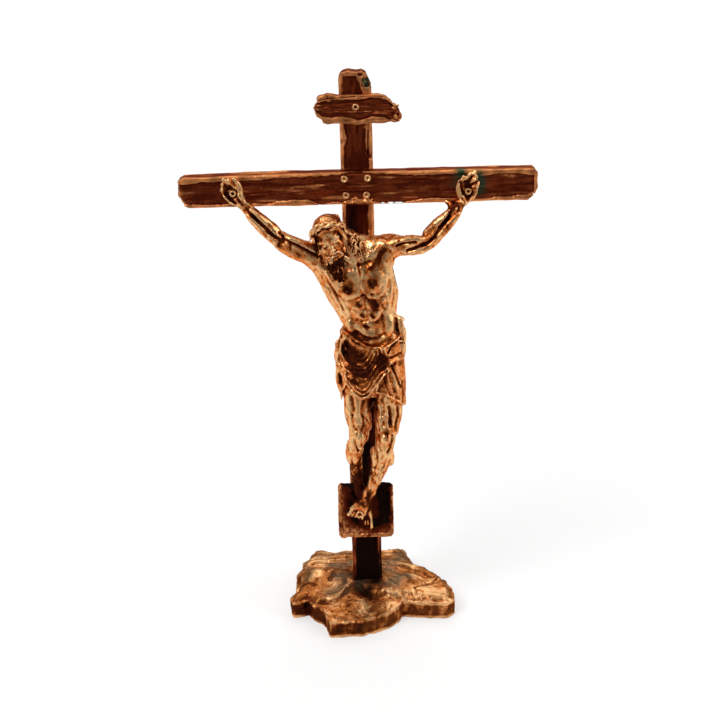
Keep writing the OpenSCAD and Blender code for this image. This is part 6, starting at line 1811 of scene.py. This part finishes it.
def makeRock():
    low, high = boxMm("base_rock")
    axisX, axisY = midOf("upright")[:2]
    clay = Clay(low - [2, 2, 1.5], high + [2, 2, 1.5], rockSet["step"])
    cells, wideX, wideY, z = clay.whole()
    x, y = wideX - axisX, wideY - axisY
    sides = outlineGap(x[:, :, 0], y[:, :, 0], rockSet["outline"])[:, :, None] + 0.45
    inland = smoothStep(-sides, 0.2, 3.4)
    top = rockTop(x[:, :, 0], y[:, :, 0], inland[:, :, 0])[:, :, None]
    sides = sides + 0.16 * np.exp(-((z - 1.5) / 0.8) ** 2)
    clay.field[:] = -softMin(-(z - top) * 0.92, -sides - 0 * z, 0.3)
    wall = smoothStep(-sides, 3.2, 1.4) * (z < 9)
    clay.field += 0.42 * wall * clay.noise((2.3, 2.3, 14), 72)
    clay.field += 0.16 * wall * clay.noise((0.9, 0.9, 3), 73)
    clay.field += (1 - wall) * (0.36 * clay.noise((6, 5, 6), 74) + 0.2 * clay.noise((2.6, 2, 3), 75)
                            + 0.07 * clay.noise((0.8, 0.8, 0.8), 76))
    for key, way, reach, paint in (("raised", -1, 4, None), ("pressed", 1, 4, None),
                                   ("tone", 1, 3, "tone"), ("stain", 1, 3, "stain")):
        for points, width, amount in rockSet[key]:
            clay.stroke(np.array(points) + [axisX, axisY], width, way * amount, reach, 20,
                        plane=(0, 1), paint=paint)
    tone = clay.paint["tone"]
    tone -= 1.4 * wall * (z < 5.6) * (z > 1.1) - 0.1
    # the walls' foot edge is lighter: partly polished wear, partly painted highlight
    tone += (0.6 * wall * (z <= 0.7) + 0.9 * clay.noise((5, 5, 5), 77)
             + 0.5 * (1 - wall) * clay.noise((1.6, 1.6, 1.6), 80))
    tone += 1.1 * wall * clay.noise((2.2, 2.2, 2.2), 78)
    tone -= 1.2 * smoothStep(clay.noise((1.1, 1.1, 1.1), 79), 0.4, 0.7)     # pits
    tone -= 1.4 * np.exp(-((x + 22.4) / 1.3) ** 2) * (y < -8) * (z < 6.4)
    x, y = wideX, wideY
    clay.field = np.maximum(clay.field, z - rockSet["top"] + 0 * x + 0 * y)
    clay.merge(cells, boxGap(x, y, z, (uprightLow[0] - 0.3, uprightLow[1] - 0.3, 5),
                             (uprightHigh[0] + 0.3, uprightHigh[1] + 0.3, 12)), 0.6)
    clay.field = np.maximum(clay.field, z - rockSet["top"] + 0 * x + 0 * y)
    half, wide, deep = rockSet["tenon"], rockSet["headBore"], rockSet["headDeep"]
    clay.merge(cells, boxGap(x, y, z, (-half, axisY - 3.1, 6.4), (half, axisY + 3.1, 14)), 0, True)
    clay.strand([(axisX, axisY, -3, wide), (axisX, axisY, deep - wide, wide)], 0, 1, True)
    hole = np.sqrt((x - axisX) ** 2 + (y - axisY) ** 2)
    clay.merge(cells, np.maximum(hole - wide, z - deep), 0, True)
    clay.merge(cells, hole - rockSet["screwBore"] + 0 * z, 0, True)
    clay.field = np.maximum(clay.field, -z + 0 * x + 0 * y)
    rock = fromClay("baseRock", clay, rockBronze)
    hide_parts("base_rock")


makeRock()


# ---- the studio: floor, camera, lamps

cameraSet = {"place": (-0.0007, -0.4532, 0.26), "down": 19.79, "roll": 1.52, "lens": 67.3,
             "sensor": 36, "nearest": 0.01}
floorSet = {"size": 14, "ahead": 4.5, "colour": (0.93, 0.925, 0.915, 1),
            "seen": (0.5, 0.5, 0.5, 1), "glow": 0.5, "darkness": 0.7,
            "dark": (0.02, 0.015, 0.01, 1)}
worldSet = {"colour": (1, 0.99, 0.97, 1), "strength": 0.36, "darkWay": (0, -0.97, 0.24),
            "darkness": 0.85}
sunSet = {"key": {"from": (-0.75, -0.75, 1.1), "wide": 32, "strength": 1.48},
          "fill": {"from": (1.0, -0.3, 0.7), "wide": 40, "strength": 0.75},
          "back": {"from": (0.1, 0.8, 1.2), "wide": 60, "strength": 1.05}}


def makeFloor():
    mesh = bpy.data.meshes.new("floor")
    half, ahead = floorSet["size"] / 2, floorSet["ahead"]
    mesh.from_pydata([(-half, ahead - half, 0), (half, ahead - half, 0), (half, ahead + half, 0),
                      (-half, ahead + half, 0)], [], [(0, 1, 2, 3)])
    floor = bpy.data.objects.new("floor", mesh)
    bpy.context.collection.objects.link(floor)
    paper = bpy.data.materials.new("floorPaper")
    paper.use_nodes = True
    shader = paper.node_tree.nodes["Principled BSDF"]
    shader.inputs["Roughness"].default_value = 0.9
    shader.inputs["Specular IOR Level"].default_value = 0.2
    w = Wires(paper.node_tree)
    rays = w.add("ShaderNodeLightPath").outputs
    place = w.add("ShaderNodeSeparateXYZ",
                  {0: w.add("ShaderNodeTexCoord").outputs["Object"]}).outputs
    ahead = w.remap(place["Y"], -0.02, -0.22)
    beside = w.remap(w.maths("ABSOLUTE", place["X"]), 0.9, 0.35)
    dark = w.maths("MULTIPLY", w.maths("MULTIPLY", ahead, beside), rays["Is Glossy Ray"])
    shade = w.remap(w.noise(3, 2, 0.5), 0.2, 0.8, 0.99, 1.0)
    colour = w.blend(1.0, floorSet["colour"], shade, "MULTIPLY")
    colour = w.blend(rays["Is Camera Ray"], colour, floorSet["seen"])
    colour = w.blend(w.maths("MULTIPLY", dark, floorSet["darkness"]), colour, floorSet["dark"])
    w.feed(shader, "Base Color", colour)
    shader.inputs["Emission Color"].default_value = (1, 1, 1, 1)    # seen by the camera alone
    glow = w.maths("MULTIPLY", rays["Is Camera Ray"], floorSet["glow"])
    w.feed(shader, "Emission Strength", glow)
    mesh.materials.append(paper)


def makeWorld():
    scene = bpy.context.scene
    world = scene.world or bpy.data.worlds.new("studio")
    scene.world = world
    world.use_nodes = True
    background = world.node_tree.nodes["Background"]
    w = Wires(world.node_tree)
    way = w.add("ShaderNodeTexCoord").outputs["Generated"]
    facing = w.add("ShaderNodeVectorMath", {0: way, 1: worldSet["darkWay"]},
                   operation="DOT_PRODUCT").outputs["Value"]
    dark = w.maths("MULTIPLY", w.remap(facing, 0.55, 0.9), worldSet["darkness"])
    colour = w.blend(dark, worldSet["colour"], floorSet["dark"])
    seen = w.add("ShaderNodeLightPath").outputs["Is Camera Ray"]        # plain white to the camera
    w.feed(background, "Color", w.blend(seen, colour, (1, 1, 1, 1)))
    w.feed(background, "Strength", w.remap(seen, 0, 1, worldSet["strength"], 1.0))


def makeLamps():
    for name, lamp in sunSet.items():
        light = bpy.data.lights.new(name, "SUN")
        light.angle, light.energy = math.radians(lamp["wide"]), lamp["strength"]
        holder = bpy.data.objects.new(name, light)
        holder.rotation_euler = bpyVector(lamp["from"]).to_track_quat("Z", "Y").to_euler()
        bpy.context.collection.objects.link(holder)


def makeCamera():
    camera = bpy.data.cameras.new("camera")
    camera.lens, camera.sensor_width = cameraSet["lens"], cameraSet["sensor"]
    camera.clip_start = cameraSet["nearest"]
    holder = bpy.data.objects.new("camera", camera)
    holder.location = cameraSet["place"]
    turn = bpyMatrix.Rotation(math.radians(90 - cameraSet["down"]), 3, "X")
    roll = bpyMatrix.Rotation(math.radians(-cameraSet["roll"]), 3, "Z")
    holder.rotation_euler = (turn @ roll).to_euler()
    bpy.context.collection.objects.link(holder)
    bpy.context.scene.camera = holder
    bpy.context.scene.view_settings.view_transform = "Standard"


makeFloor()
makeWorld()
makeLamps()
makeCamera()
print("studio: floor,", len(sunSet), "lamps and camera")


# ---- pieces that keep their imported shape

def carryOver():
    for node in ("base_screw", "base_washer", "footrest_dowels"):
        mesh = bpy.data.objects[node].data
        mesh.materials.clear()
        mesh.materials.append(steel)


carryOver()
